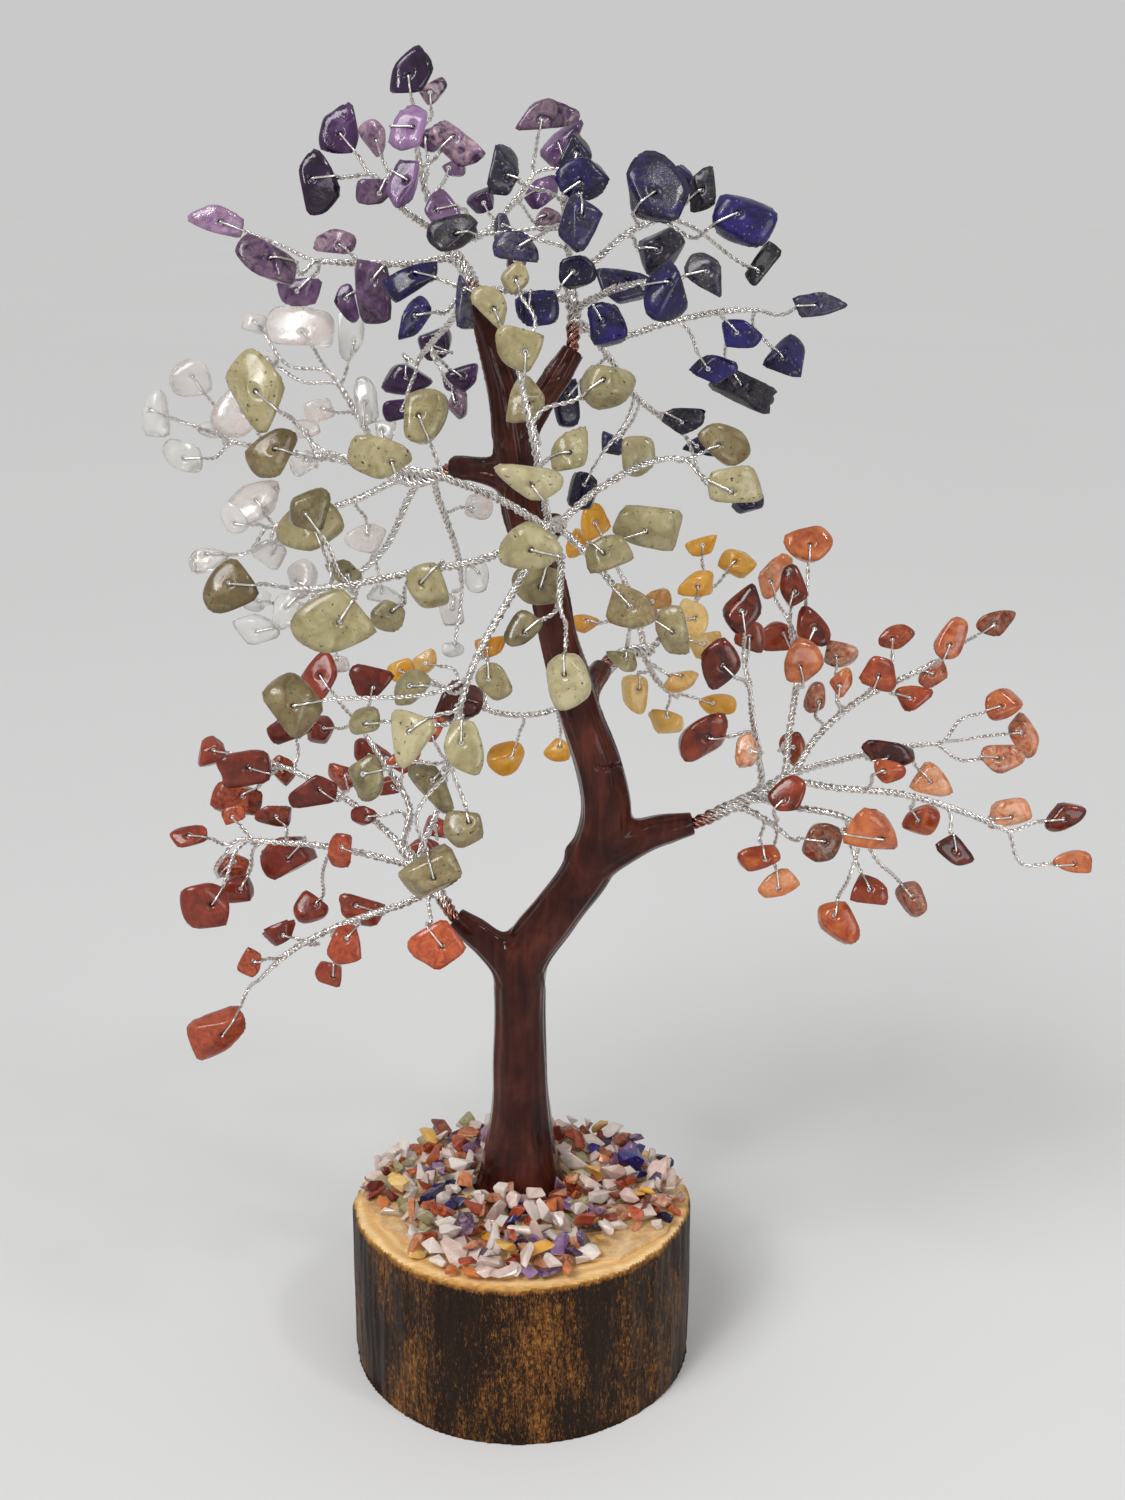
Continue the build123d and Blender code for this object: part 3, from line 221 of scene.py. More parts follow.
# How far the crushed stone reaches from the middle of the slice: turn in degrees, reach
GRIT_OUTLINE = (
    (0, 36.6), (60, 36.6), (90, 36.2), (130, 36.6), (180, 36.4), (188, 33.0), (205, 29.5), (220, 31.0),
    (226, 36.0), (240, 37.6), (288, 37.6), (296, 34.0), (303, 29.8), (325, 31.0), (335, 35.0), (345, 36.6),
    (360, 36.6),
)
GRIT_MIX = {
    "quartz": 0.42, "carnelian": 0.2, "jasper": 0.1, "amethyst": 0.09, "green": 0.08, "lapis": 0.05,
    "yellow": 0.06,
}

# Studio, in metres: each light has a place, kind, size, power and spread in degrees, and the size
# of the sun is an angle in radians
TREE_MIDDLE = (0.0, 0.0, 0.15)
CAMERA_CLIP = (0.01, 50.0)
FLOOR_REACH = 20.0
WORLD_STRENGTHS = (0.42, 0.584)
LIGHTS = {
    "key": ((-0.45, -0.6, 1.0), "SUN", 0.45, 1.55, 0.0),
    "window": ((0.5, -0.8, 0.33), "AREA", 0.5, 0.8, 120.0),
    "lamp_left": ((-0.4, -0.7, 0.7), "AREA", 0.12, 1.1, 180.0),
    "lamp_right": ((0.45, -0.4, 0.9), "AREA", 0.12, 1.1, 180.0),
}


def unit(vectors):
    return vectors / norm(vectors, axis=-1, keepdims=True)


def ease(values, start, width):
    """Shares from 0 to 1 that rise over a width from a start."""
    return np.clip((values - start) / width, 0.0, 1.0)


def swing(angles, first, second):
    """Directions at angles between two axes."""
    return np.cos(angles)[..., None] * first + np.sin(angles)[..., None] * second


def away_from(points, places):
    """Each point's distance to the nearest of some places."""
    return norm(points[:, None] - np.array(places)[None], axis=2).min(axis=1)


def to_pixels(point):
    """Where a point lands in the photograph's frame."""
    away = point - CAMERA_PLACE
    ahead = away[..., 1] * math.cos(CAMERA_PITCH) - away[..., 2] * math.sin(CAMERA_PITCH)
    up = away[..., 1] * math.sin(CAMERA_PITCH) + away[..., 2] * math.cos(CAMERA_PITCH)
    across = IMAGE_WIDTH / 2 + FOCAL_PIXELS * away[..., 0] / ahead
    down = IMAGE_HEIGHT / 2 - FOCAL_PIXELS * up / ahead
    return np.stack((across, down), axis=-1)


def seen(across, down, depth):
    """The point that the photograph shows at a pixel, at a depth behind the trunk's plane."""
    across_share = (across - IMAGE_WIDTH / 2) / FOCAL_PIXELS
    up_share = (IMAGE_HEIGHT / 2 - down) / FOCAL_PIXELS
    sine, cosine = math.sin(CAMERA_PITCH), math.cos(CAMERA_PITCH)
    line = np.array((across_share, cosine + up_share * sine, up_share * cosine - sine))
    return CAMERA_PLACE + line * (depth + TRUNK_SETBACK - CAMERA_PLACE[1]) / line[1]


# Reading the frame

def welded(node):
    """A node's corners and faces, with the doubled corners of its flat faces joined."""
    mesh = frame["nodes"][node].data
    points = np.array([vertex.co[:] for vertex in mesh.vertices]) / MM
    _, first, joined = np.unique(np.round(points / WELD), axis=0, return_index=True, return_inverse=True)
    joined = joined.ravel()
    faces = [[int(joined[corner]) for corner in polygon.vertices] for polygon in mesh.polygons]
    return points[first], faces


def grouped(count, links):
    """Groups of numbers that links join, each as a sorted array."""
    parent = list(range(count))

    def root(number):
        while parent[number] != number:
            parent[number] = parent[parent[number]]
            number = parent[number]
        return number

    for link in links:
        for other in link[1:]:
            parent[root(other)] = root(link[0])
    groups = {}
    for number in range(count):
        groups.setdefault(root(number), []).append(number)
    return [np.array(group) for group in groups.values()]


def in_line(links):
    """The numbers of a chain in order, from the links of each to its neighbours."""
    order = [next(number for number, others in links.items() if len(others) == 1)]
    while len(order) < len(links):
        order.append(next(other for other in sorted(links[order[-1]]) if other not in order))
    return order


def wire_routes(node, sides):
    """The middle line of each wire of a node, from the rings of corners that bound its runs."""
    points, faces = welded(node)
    routes = []
    for island in grouped(len(points), faces):
        corners = points[island]
        apart = norm(corners[:, None] - corners[None], axis=2)
        rings = [np.arange(len(island))]
        for reach in RING_REACHES:
            close = np.argwhere(np.triu(apart < reach, 1)).tolist()
            tried = grouped(len(island), close)
            if all(len(ring) % sides == 0 for ring in tried):
                rings = tried
                break
        place = {int(island[k]): number for number, ring in enumerate(rings) for k in ring}
        links = {number: set() for number in range(len(rings))}
        for face in faces:
            if face[0] in place:
                for corner in face:
                    links[place[corner]] |= {place[other] for other in face} - {place[corner]}
        routes.append(np.array([corners[rings[number]].mean(axis=0) for number in in_line(links)]))
    return routes


def from_nearest_end(route, place):
    """The route, turned to start at the end nearer to a place."""
    if norm(route[0] - place) > norm(route[-1] - place):
        return route[::-1]
    return route


def joint_place(gem):
    joint = next(joint for joint in frame["joints"] if joint["name"] == f"{gem}_bough_bend")
    return np.array(joint["pos_m"]) / MM


# Building meshes

def new_object(name, data):
    """An object in the scene, from a mesh, camera or light."""
    made = bpy.data.objects.new(name, data)
    bpy.context.scene.collection.objects.link(made)
    return made


class Pile:
    """Corners, faces and looks of the many small shapes that make one piece."""

    def __init__(self):
        self.points = []
        self.faces = []
        self.looks = []
        self.count = 0

    def add(self, points, faces, look=(0.0, 0.0)):
        self.points.append(points)
        self.faces += [[corner + self.count for corner in face] for face in faces]
        self.looks.append(np.tile(look, (len(points), 1)))
        self.count += len(points)

    def mesh(self, name):
        mesh = bpy.data.meshes.new(name)
        points = np.clip(np.concatenate(self.points), CAD_LOW, CAD_HIGH)
        mesh.from_pydata((points * MM).tolist(), [], self.faces)
        return mesh

    def piece(self, name, material):
        mesh = self.mesh(name)
        looks = np.concatenate(self.looks)
        for number, word in enumerate(("tone", "tint")):
            layer = mesh.attributes.new(word, "FLOAT", "POINT")
            layer.data.foreach_set("value", looks[:, number].astype(np.float32))
        mesh.shade_smooth()
        mesh.materials.append(material)
        return new_object(name, mesh)


def place_piece(made, body, slot, node):
    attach(made, body)
    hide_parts(node)


def torus_faces(rows, columns):
    """Quads of a grid that closes in both directions."""
    row, column = np.meshgrid(np.arange(rows), np.arange(columns), indexing="ij")
    down = (row + 1) % rows
    right = (column + 1) % columns
    corners = ((row, column), (down, column), (down, right), (row, right))
    numbers = [place * columns + aside for place, aside in corners]
    return np.stack(numbers, axis=-1).reshape(-1, 4).tolist()


def tube_faces(rings, sides):
    """Quads of a tube, and the two faces that close its ends."""
    last = (rings - 1) * sides
    faces = [face[::-1] for face in torus_faces(rings, sides)[:last]]
    return faces + [list(range(sides))[::-1], [last + k for k in range(sides)]]


def tube_points(line, first, second, radii, sides):
    """Corners of the rings of a tube about a line, from the line's axes."""
    turns = math.tau * np.arange(sides) / sides
    across = swing(turns, first[:, None], second[:, None])
    return (line[:, None] + across * radii[:, None, None]).reshape(-1, 3)


def tube(pile, line, outward, radii, sides):
    """A round strand along a line, with closed ends; outward gives its sections' first axis."""
    ahead = unit(np.gradient(line, axis=0))
    first = unit(outward - ahead * np.sum(outward * ahead, axis=1, keepdims=True))
    radii = np.broadcast_to(radii, len(line))
    points = tube_points(line, first, np.cross(ahead, first), radii, sides)
    pile.add(points, tube_faces(len(line), sides))


def smooth_line(route, step):
    """Evenly spaced points on a smooth curve through a route's points."""
    route = np.array(route)
    runs = route[1:] - route[:-1]
    lengths = norm(runs, axis=1)
    ways = runs / lengths[:, None]
    turns = np.concatenate((ways[:1], unit(ways[:-1] + ways[1:]), ways[-1:]))
    samples = []
    share = np.linspace(0.0, 1.0, 16, endpoint=False)[:, None]
    for k, length in enumerate(lengths):
        rise = share * share * (3 - 2 * share)
        leave = share * (1 - share) ** 2
        arrive = share * share * (share - 1)
        span = route[k] * (1 - rise) + route[k + 1] * rise
        samples.append(span + length * (leave * turns[k] + arrive * turns[k + 1]))
    samples = np.concatenate(samples + [route[-1:]])
    passed = np.concatenate(((0.0,), np.cumsum(norm(samples[1:] - samples[:-1], axis=1))))
    count = max(int(passed[-1] / step) + 1, 3)
    wanted = np.linspace(0.0, passed[-1], count)
    return np.stack([np.interp(wanted, passed, column) for column in samples.T], axis=1)


def carried_axes(line):
    """Two axes square to a line that don't spin about it."""
    ahead = unit(np.gradient(line, axis=0))
    start = np.cross(ahead[0], (0.3, 0.2, 0.9))
    axes = [unit(start)]
    for way in ahead[1:]:
        axes.append(unit(axes[-1] - way * np.dot(axes[-1], way)))
    first = np.array(axes)
    return first, np.cross(ahead, first)


def twisted_pair(pile, line, radius, pitch, phase):
    """Two strands wound round a line; their radius is one number, or one for each point."""
    first, second = carried_axes(line)
    step = norm(line[1] - line[0])
    turn = math.tau * step / pitch * np.arange(len(line)) + phase
    radii = np.broadcast_to(radius, len(line))
    for start in (0.0, math.pi):
        outward = swing(turn + start, first, second)
        tube(pile, line + outward * radii[:, None], outward, radii, STRAND_SIDES)


# Tumbled chips

class Waves:
    """A smooth random field made of a few plane waves."""

    def __init__(self, random, count, low, high):
        self.ways = unit(random.normal(size=(count, 3))) * random.uniform(low, high, (count, 1))
        self.starts = random.uniform(0.0, math.tau, count)

    def at(self, points):
        return np.sin(points @ self.ways.T + self.starts).mean(axis=1)


class Chip:
    """A drilled chip, read from its plain solid: rounded planes about a centre, with a smooth wobble."""

    def __init__(self, gem, corners, random):
        wide, narrow = self.read_drill(corners)
        normals = [self.way, -self.way]
        distances = [self.half, self.half]
        for k in range(len(wide)):
            normal = unit(np.cross(wide[(k + 1) % len(wide)] - wide[k], narrow[k] - wide[k]))
            distance = float(normal @ (wide[k] - self.centre))
            normals.append(normal * math.copysign(1.0, distance))
            distances.append(abs(distance))
        self.normals = np.array(normals)
        self.distances = np.array(distances)
        self.limit = REACH_LIMIT_SHARE * float(self.distances.max())
        self.sharpness = random.uniform(*EDGE_SHARPNESS[gem])
        self.swell = Waves(random, 5, 1.5, 4.0)
        self.ripple = Waves(random, 6, 6.0, 12.0)
        spans = (wide - self.centre) @ self.axes.T
        self.middle = (spans.max(axis=0) + spans.min(axis=0)) / 2
        self.spans = (spans.max(axis=0) - spans.min(axis=0)) / 2
        self.cut_corners(random)
        self.fill_out()

    def read_drill(self, corners):
        """Find the drill hole and the axes; returns the corners of the wide rim and of the narrow one."""
        apart = norm(corners[:, None] - corners[None], axis=2)
        near = np.sort(apart, axis=1)
        drill = np.argsort(np.abs(near[:, 1:3] - DRILL_SIDE).sum(axis=1))[:6]
        drill = drill[np.argsort(apart[drill[0]][drill])]
        mouths = [corners[drill[:3]].mean(axis=0), corners[drill[3:]].mean(axis=0)]
        self.centre = (mouths[0] + mouths[1]) / 2
        outer = np.delete(corners, drill, axis=0)
        side = (outer - self.centre) @ (mouths[0] - mouths[1]) > 0
        rims = [outer[side], outer[~side]]
        spreads = [norm(rim - rim.mean(axis=0), axis=1).mean() for rim in rims]
        front = int(np.argmin(spreads))
        self.way = unit(mouths[front] - mouths[1 - front])
        self.half = float(norm(mouths[0] - mouths[1]) / 2)
        wide, narrow = rims[1 - front], rims[front]
        _, _, axes = np.linalg.svd(wide - wide.mean(axis=0))
        long_axis = unit(axes[0] - self.way * float(axes[0] @ self.way))
        self.axes = np.array((long_axis, np.cross(self.way, long_axis)))
        return self.in_order(wide), self.in_order(narrow)

    def in_order(self, rim):
        along, aside = self.axes @ (rim - rim.mean(axis=0)).T
        return rim[np.argsort(np.arctan2(aside, along))]

    def reach(self, ways):
        """How far the stone's surface is from its centre in some directions."""
        facing = np.maximum(ways @ self.normals.T / self.distances, 0.0)
        within = self.limit ** -self.sharpness
        plain = (within + (facing ** self.sharpness).sum(axis=1)) ** (-1.0 / self.sharpness)
        return plain * (1.0 + SWELL_SHARE * self.swell.at(ways) + RIPPLE_SHARE * self.ripple.at(ways))

    def cut_corners(self, random):
        """Random flats that take corners off."""
        for _ in range(CHIP_CUTS):
            way = unit(random.normal(size=3))
            reach = float(self.reach(way[None])[0])
            normal = unit(way + CUT_LEAN * random.normal(size=3))
            distance = reach * float(way @ normal) * random.uniform(*CUT_SHARES)
            if distance > 0:
                self.normals = np.vstack((self.normals, normal))
                self.distances = np.append(self.distances, distance)

    def fill_out(self):
        """Push the sides out until the rounded stone spans the length and width of the plain one."""
        around = swing(math.tau * np.arange(FILL_TURNS) / FILL_TURNS, *self.axes)
        ways = unit(np.vstack([around + slope * self.way for slope in FILL_SLOPES]))
        shares = (self.normals @ self.axes.T) ** 2
        for _ in range(FILL_ROUNDS):
            points = ways * self.reach(ways)[:, None]
            growth = np.clip(2 * self.spans / np.ptp(points @ self.axes.T, axis=0), *FILL_LIMITS)
            self.distances = self.distances * (1.0 + shares @ (growth - 1.0))

    def edge_way(self, place):
        """The direction from the centre towards a place, laid square to the drill hole."""
        away = place - self.centre
        return unit(away - self.way * float(away @ self.way))

    def add_to(self, pile, look):
        """The stone's surface as a ring-shaped grid: over the outside and back through the drill hole."""
        rim = DRILL_RADIUS + DRILL_BEVEL
        start = math.asin(min(rim / min(self.spans), DRILL_LIMIT_SHARE))
        turn = np.linspace(start, math.pi - start, CHIP_RINGS)
        from_pole = np.minimum(turn, math.pi - turn)
        pull = np.clip((DRILL_PULL_SHARE * start - from_pole) / ((DRILL_PULL_SHARE - 1) * start), 0.0, 1.0)
        pull = pull * pull * (3 - 2 * pull)
        round_turn = math.tau * np.arange(CHIP_SEGMENTS) / CHIP_SEGMENTS
        spans = [(span * (1 - pull) + rim / math.sin(start) * pull) * np.sin(turn) for span in self.spans]
        shift = (np.sin(turn) ** 2 * (1 - pull))[:, None]
        x = spans[0][:, None] * np.cos(round_turn) + self.middle[0] * shift
        y = spans[1][:, None] * np.sin(round_turn) + self.middle[1] * shift
        z = np.broadcast_to((self.half * np.cos(turn))[:, None], x.shape)
        ways = unit(np.stack((x, y, z), axis=-1) @ (*self.axes, self.way)).reshape(-1, 3)
        grid = (ways * self.reach(ways)[:, None]).reshape(CHIP_RINGS, CHIP_SEGMENTS, 3)
        around = swing(round_turn, *self.axes)
        bore = []
        for ring in (grid[0], grid[-1]):
            height = (ring @ self.way)[:, None] * self.way
            ring[:] = height + around * rim
            bore.append(BORE_RING_SHARE * height + around * DRILL_RADIUS)
        grid = np.concatenate((bore[0][None], grid, bore[1][None]))
        points = self.centre + grid.reshape(-1, 3)
        pile.add(points, torus_faces(CHIP_RINGS + 2, CHIP_SEGMENTS), look)


# Looks of single chips, told by where they stand in the photograph: across, down, lightness
# from -1 to 1, and the share of the gem's second colour.
CHIP_LOOKS_PIXELS = {
    "amethyst": (
        (410, 141, 1.0, 0.1), (375, 137, 0.5, 0.8), (452, 168, 0.6, 0.2), (314, 189, -0.8, 0.0),
        (214, 218, 0.7, 0.6), (562, 138, 0.3, 0.0), (343, 130, -0.2, 0.0), (415, 72, -0.6, 0.0),
        (373, 294, -0.2, 0.2), (431, 139, 0.4, 0.2),
    ),
    "lapis": (
        (503, 220, 0.3, 0.9), (645, 193, 0.0, 0.2), (703, 184, -0.7, 0.4), (744, 220, 0.4, 0.0),
        (762, 264, -0.8, 0.2), (661, 246, -0.2, 0.6), (670, 292, 0.1, 0.0), (712, 279, -0.2, 0.8),
        (465, 301, 0.3, 1.0), (450, 240, -0.5, 0.7), (511, 246, 0.3, 0.9), (822, 307, 0.2, 0.9),
        (742, 334, 0.6, 0.0), (750, 390, -0.4, 0.6), (584, 490, -0.6, 0.0), (415, 282, 0.1, 0.0),
        (535, 308, 0.1, 0.0), (411, 324, 0.3, 0.0), (786, 356, 0.3, 0.0), (714, 370, 0.4, 0.0),
        (689, 422, -0.4, 0.4), (506, 167, -0.2, 0.3), (579, 150, -0.3, 0.2), (588, 182, 0.1, 0.0),
    ),
    "quartz": ((295, 331, 0.3, 0.9), (478, 508, 0.0, 1.0), (352, 336, 0.2, 0.0), (252, 322, 0.2, 0.3)),
    "green": (
        (272, 457, -0.4, 0.8), (308, 508, -0.7, 0.1), (306, 530, -0.1, 0.2), (224, 588, -0.9, 0.5),
        (725, 447, -0.5, 0.9), (674, 640, 0.2, 0.5), (521, 637, -0.7, 0.0), (404, 736, 0.8, 0.1),
        (437, 787, -0.6, 0.2), (363, 780, -0.5, 0.1), (425, 876, -0.2, 0.8), (292, 697, -0.6, 0.6),
        (571, 679, 0.6, 0.0), (522, 484, 0.7, 0.2), (737, 489, 0.4, 0.3), (252, 382, 0.3, 0.3),
        (331, 625, 0.0, 0.0), (427, 414, -0.1, 0.2), (517, 277, 0.5, 0.3), (490, 303, 0.4, 0.3),
    ),
    "yellow": ((708, 545, 0.2, 0.0), (698, 615, 0.7, 0.8), (662, 718, 0.5, 0.3), (636, 694, 0.6, 0.6)),
    "carnelian": (
        (772, 575, 0.7, 0.5), (796, 587, -0.6, 0.0), (742, 604, -0.7, 0.0), (716, 667, -0.8, 0.0),
        (700, 739, -0.4, 0.0), (897, 638, -0.2, 0.1), (914, 698, 0.0, 0.0), (1000, 622, -0.5, 0.2),
        (896, 757, -0.9, 0.0), (933, 786, 1.0, 0.9), (891, 837, 0.5, 0.1), (958, 858, -0.8, 0.0),
        (772, 889, 1.0, 0.7), (1015, 813, 0.6, 0.7), (1068, 818, -0.6, 0.0), (816, 546, 0.5, 0.1),
        (821, 846, -0.6, 0.3), (759, 861, 0.1, 0.0), (839, 919, 0.3, 0.0), (1004, 706, 0.4, 0.1),
        (1078, 864, 0.4, 0.2), (952, 640, 0.2, 0.2),
    ),
    "jasper": (
        (282, 858, 0.1, 0.0), (237, 890, -0.2, 0.0), (371, 899, -0.3, 0.0), (289, 726, -0.4, 0.0),
        (461, 700, -0.8, 0.0), (436, 946, 1.0, 1.0), (216, 1036, 0.5, 0.5), (345, 943, 0.5, 0.5),
        (330, 974, 0.2, 0.2), (207, 904, 0.0, 0.1), (314, 790, -0.3, 0.0),
    ),
}


def chip_look(gem, chip, random):
    """A chip's lightness and share of the second colour: the photograph's, or else drawn ones."""
    spot = to_pixels(chip.centre + chip.middle @ chip.axes)
    drawn = (random.uniform(-0.45, 0.45), random.uniform(0.0, 1.0) ** 3)
    for across, down, *look in CHIP_LOOKS_PIXELS[gem]:
        if np.hypot(*(spot - (across, down))) < LOOK_REACH_PIXELS:
            return look
    return drawn


# Wires of the crown

def nearest_on(line, place):
    """The nearest point of a line to a place, its direction there, its distance and its number."""
    runs = line[1:] - line[:-1]
    shares = np.clip(np.sum((place - line[:-1]) * runs, axis=1) / np.sum(runs * runs, axis=1), 0.0, 1.0)
    points = line[:-1] + shares[:, None] * runs
    away = norm(points - place, axis=1)
    k = int(np.argmin(away))
    return points[k], unit(runs[k]), float(away[k]), k


def with_lead(start, target, carrier):
    """The first stretch of a wire, laid along what it grows from, then turned to its target."""
    point, way, _, _ = nearest_on(carrier, start)
    ahead = target - point
    back = min(LEAD_IN, LEAD_IN * (LEAD_LEAST_SHARE + abs(float(unit(ahead) @ way))))
    behind, _, _, _ = nearest_on(carrier, point - way * back)
    return [behind, point + LEAD_OUT * ahead / max(norm(ahead), 1.0)]


def swayed(route, step, sway, random):
    """A smooth line through a route, with the slight waves of wire bent by hand."""
    reach, least, most, side_share = sway
    line = smooth_line(route, step)
    first, second = carried_axes(line)
    along = np.linspace(0.0, 1.0, len(line))[:, None]
    waves = np.sin(along * random.uniform(least, most) + random.uniform(0, 6))
    off = reach * np.sin(math.pi * along) * waves
    return line + off * first + side_share * off * second


def wire_loop(pile, chip, knot):
    """One closed loop: out over the front, through the drill hole, and back round the edge."""
    edge_way = chip.edge_way(knot)
    off = STRAND_RADIUS + LOOP_CLEARANCE
    places = []
    for sign in (1.0, -1.0):
        ways = swing(sign * LOOP_TURNS, edge_way, chip.way)
        over = chip.centre + ways * (chip.reach(ways)[:, None] + off)
        through = chip.centre + sign * chip.way * (chip.half * LOOP_BORE_SHARES)[:, None]
        places.append(np.concatenate((over, through))[::int(sign)])
    line = smooth_line(np.concatenate((knot[None], *places, knot[None])), LOOP_STEP)
    outward = np.broadcast_to(np.cross(edge_way, chip.way), line.shape)
    tube(pile, line, outward, STRAND_RADIUS, CORE_SIDES)


def add_twig(pile, chip, route, carrier, random):
    """A twisted pair from its branch to its chip, ending in a loop through the drill hole."""
    edge_way = chip.edge_way(route[-3])
    reach = float(chip.reach(edge_way[None])[0])
    knot = chip.centre + edge_way * (reach + STRAND_RADIUS + LOOP_CLEARANCE + KNOT_GAP)
    knot = knot + chip.way * min(KNOT_RISE, chip.half * KNOT_RISE_SHARE)
    between = route[1:-2]
    target = between[0] if len(between) else knot
    stem = np.array(with_lead(route[0], target, carrier) + list(between) + [knot])
    line = swayed(stem, TWIST_STEP, TWIG_SWAY, random)
    pitch = TWIST_PITCH * random.uniform(0.85, 1.2)
    twisted_pair(pile, line, STRAND_RADIUS, pitch, random.uniform(0, 6))
    wire_loop(pile, chip, knot)


def add_bundle(pile, line, radii, bundle, tapers, random):
    """A branch or rope: twisted pairs of wire wound round each other, thinner where it tapers."""
    pairs, strand_radius, pitch = bundle
    count = len(line)
    step = norm(line[1] - line[0])
    size = np.ones(count)
    if tapers:
        rise = (1 - TIP_SHARE) * step * np.arange(count)[::-1] / TIP_TAPER
        size = np.clip(TIP_SHARE + rise, 0.0, 1.0)
    strand = strand_radius * size
    orbit = radii * size - 2 * strand
    first, second = carried_axes(line)
    tube(pile, line, first, np.maximum(orbit, CORE_LEAST), CORE_SIDES)
    turn = math.tau * step / pitch * np.arange(count) + random.uniform(0.0, math.tau)
    for number in range(pairs):
        outward = swing(turn + math.tau * number / pairs, first, second)
        pair_pitch = PAIR_PITCH_SHARE * strand_radius * random.uniform(0.9, 1.2)
        twisted_pair(pile, line + outward * orbit[:, None], strand, pair_pitch, random.uniform(0, 6))


def rope_pile(line, random):
    """A bough's rope, thin enough inside its mouth to turn there."""
    pile = Pile()
    along = BUNDLE_STEP * np.arange(1, len(line))
    places = (*ROPE_RADII_PLACES, max(along[-1], ROPE_RADII_PLACES[-1] + 1.0))
    add_bundle(pile, line[1:], np.interp(along, places, ROPE_RADII), ROPE_BUNDLE, False, random)
    return pile


def branch_lines(gem, rope, random):
    """Where a bough's branches run, each led out of its rope."""
    lines = []
    for route in wire_routes(f"{gem}_branches", BRANCH_CORNERS):
        if nearest_on(rope, route[0])[2] > nearest_on(rope, route[-1])[2]:
            route = route[::-1]
        led = with_lead(route[0], route[1], rope) + list(route[1:])
        lines.append(swayed(led, BUNDLE_STEP, BUNDLE_SWAY, random))
    return lines


def twig_pile(gem, chips, branches, random):
    """A bough's twigs, and the number of the last point on each branch where one grows."""
    pile = Pile()
    last = [0] * len(branches)
    for route in wire_routes(f"{gem}_twigs", TWIG_CORNERS):
        gaps = [min(norm(chip.centre - end) for chip in chips) for end in (route[0], route[-1])]
        if gaps[0] <= gaps[1]:
            route = route[::-1]
        chip = min(chips, key=lambda chip: norm(chip.centre - route[-1]))
        hits = [nearest_on(branch, route[0]) for branch in branches]
        carrier = int(np.argmin([hit[2] for hit in hits]))
        last[carrier] = max(last[carrier], hits[carrier][3])
        add_twig(pile, chip, route, branches[carrier], random)
    return pile, last


def branch_pile(branches, last, random):
    """A bough's branches, each ending just past its last twig."""
    pile = Pile()
    for branch, end in zip(branches, last):
        line = branch[:end + BRANCH_SPARE_STEPS]
        add_bundle(pile, line, np.linspace(*BRANCH_RADII, len(line)), BRANCH_BUNDLE, True, random)
    return pile


def make_bough(gem, stone, wire):
    """A gem's rope, chips, twigs and branches, each a piece that rides the bough."""
    random = np.random.default_rng(100 + GEMS.index(gem))
    rope = from_nearest_end(wire_routes(f"{gem}_rope", ROPE_CORNERS)[0], joint_place(gem))
    rope = swayed(rope, BUNDLE_STEP, BUNDLE_SWAY, random)
    ropes = rope_pile(rope, random)
    lines = branch_lines(gem, rope, random)
    solids = welded(f"{gem}_chips")
    chips = [Chip(gem, solids[0][island], random) for island in grouped(len(solids[0]), solids[1])]
    tumbled = Pile()
    for chip in chips:
        chip.add_to(tumbled, chip_look(gem, chip, random))
    twigs, last = twig_pile(gem, chips, lines, random)
    branches = branch_pile(lines, last, random)
    stained = wire_material(f"{gem}_rope_silver", tuple(rope[0]))
    for pile, name, material, slot, node in (
        (ropes, "rope_wires", stained, "silver_wire", "rope"),
        (tumbled, "tumbled_chips", stone, f"{gem}_stone", "chips"),
        (twigs, "twig_wires", wire, "silver_wire", "twigs"),
        (branches, "branch_wires", wire, "silver_wire", "branches"),
    ):
        place_piece(pile.piece(f"{gem}_{name}", material), f"{gem}_bough", slot, f"{gem}_{node}")


# Trunk and log

def even_out(made, voxel):
    """Give a piece an even fine mesh in place of its own."""
    remesh = made.modifiers.new("even", "REMESH")
    remesh.mode = "VOXEL"
    remesh.voxel_size = voxel * MM
    graph = bpy.context.evaluated_depsgraph_get()
    mesh = bpy.data.meshes.new_from_object(made.evaluated_get(graph))
    made.modifiers.clear()
    made.data = mesh
    mesh.materials.clear()


def mesh_values(made, word):
    """The places ("co") or normals ("normal") of a mesh's corners, in the scene's own units."""
    values = np.zeros(len(made.data.vertices) * 3, np.float32)
    made.data.vertices.foreach_get(word, values)
    return values.reshape(-1, 3).astype(float)


def set_points(made, points):
    made.data.vertices.foreach_set("co", (points * MM).ravel())
    made.data.update()


def relaxed(made, points, rounds, share):
    """Points drawn towards the mean of their neighbours; share is one number or one for each point."""
    edges = np.zeros(len(made.data.edges) * 2, int)
    made.data.edges.foreach_get("vertices", edges)
    edges = edges.reshape(-1, 2)
    ends = np.concatenate((edges[:, 0], edges[:, 1]))
    others = np.concatenate((edges[:, 1], edges[:, 0]))
    degree = np.bincount(ends, minlength=len(points))
    for _ in range(rounds):
        sums = [np.bincount(ends, points[others, axis], len(points)) / degree for axis in range(3)]
        points = points + np.reshape(share, (-1, 1)) * (np.stack(sums, axis=1) - points)
    return points


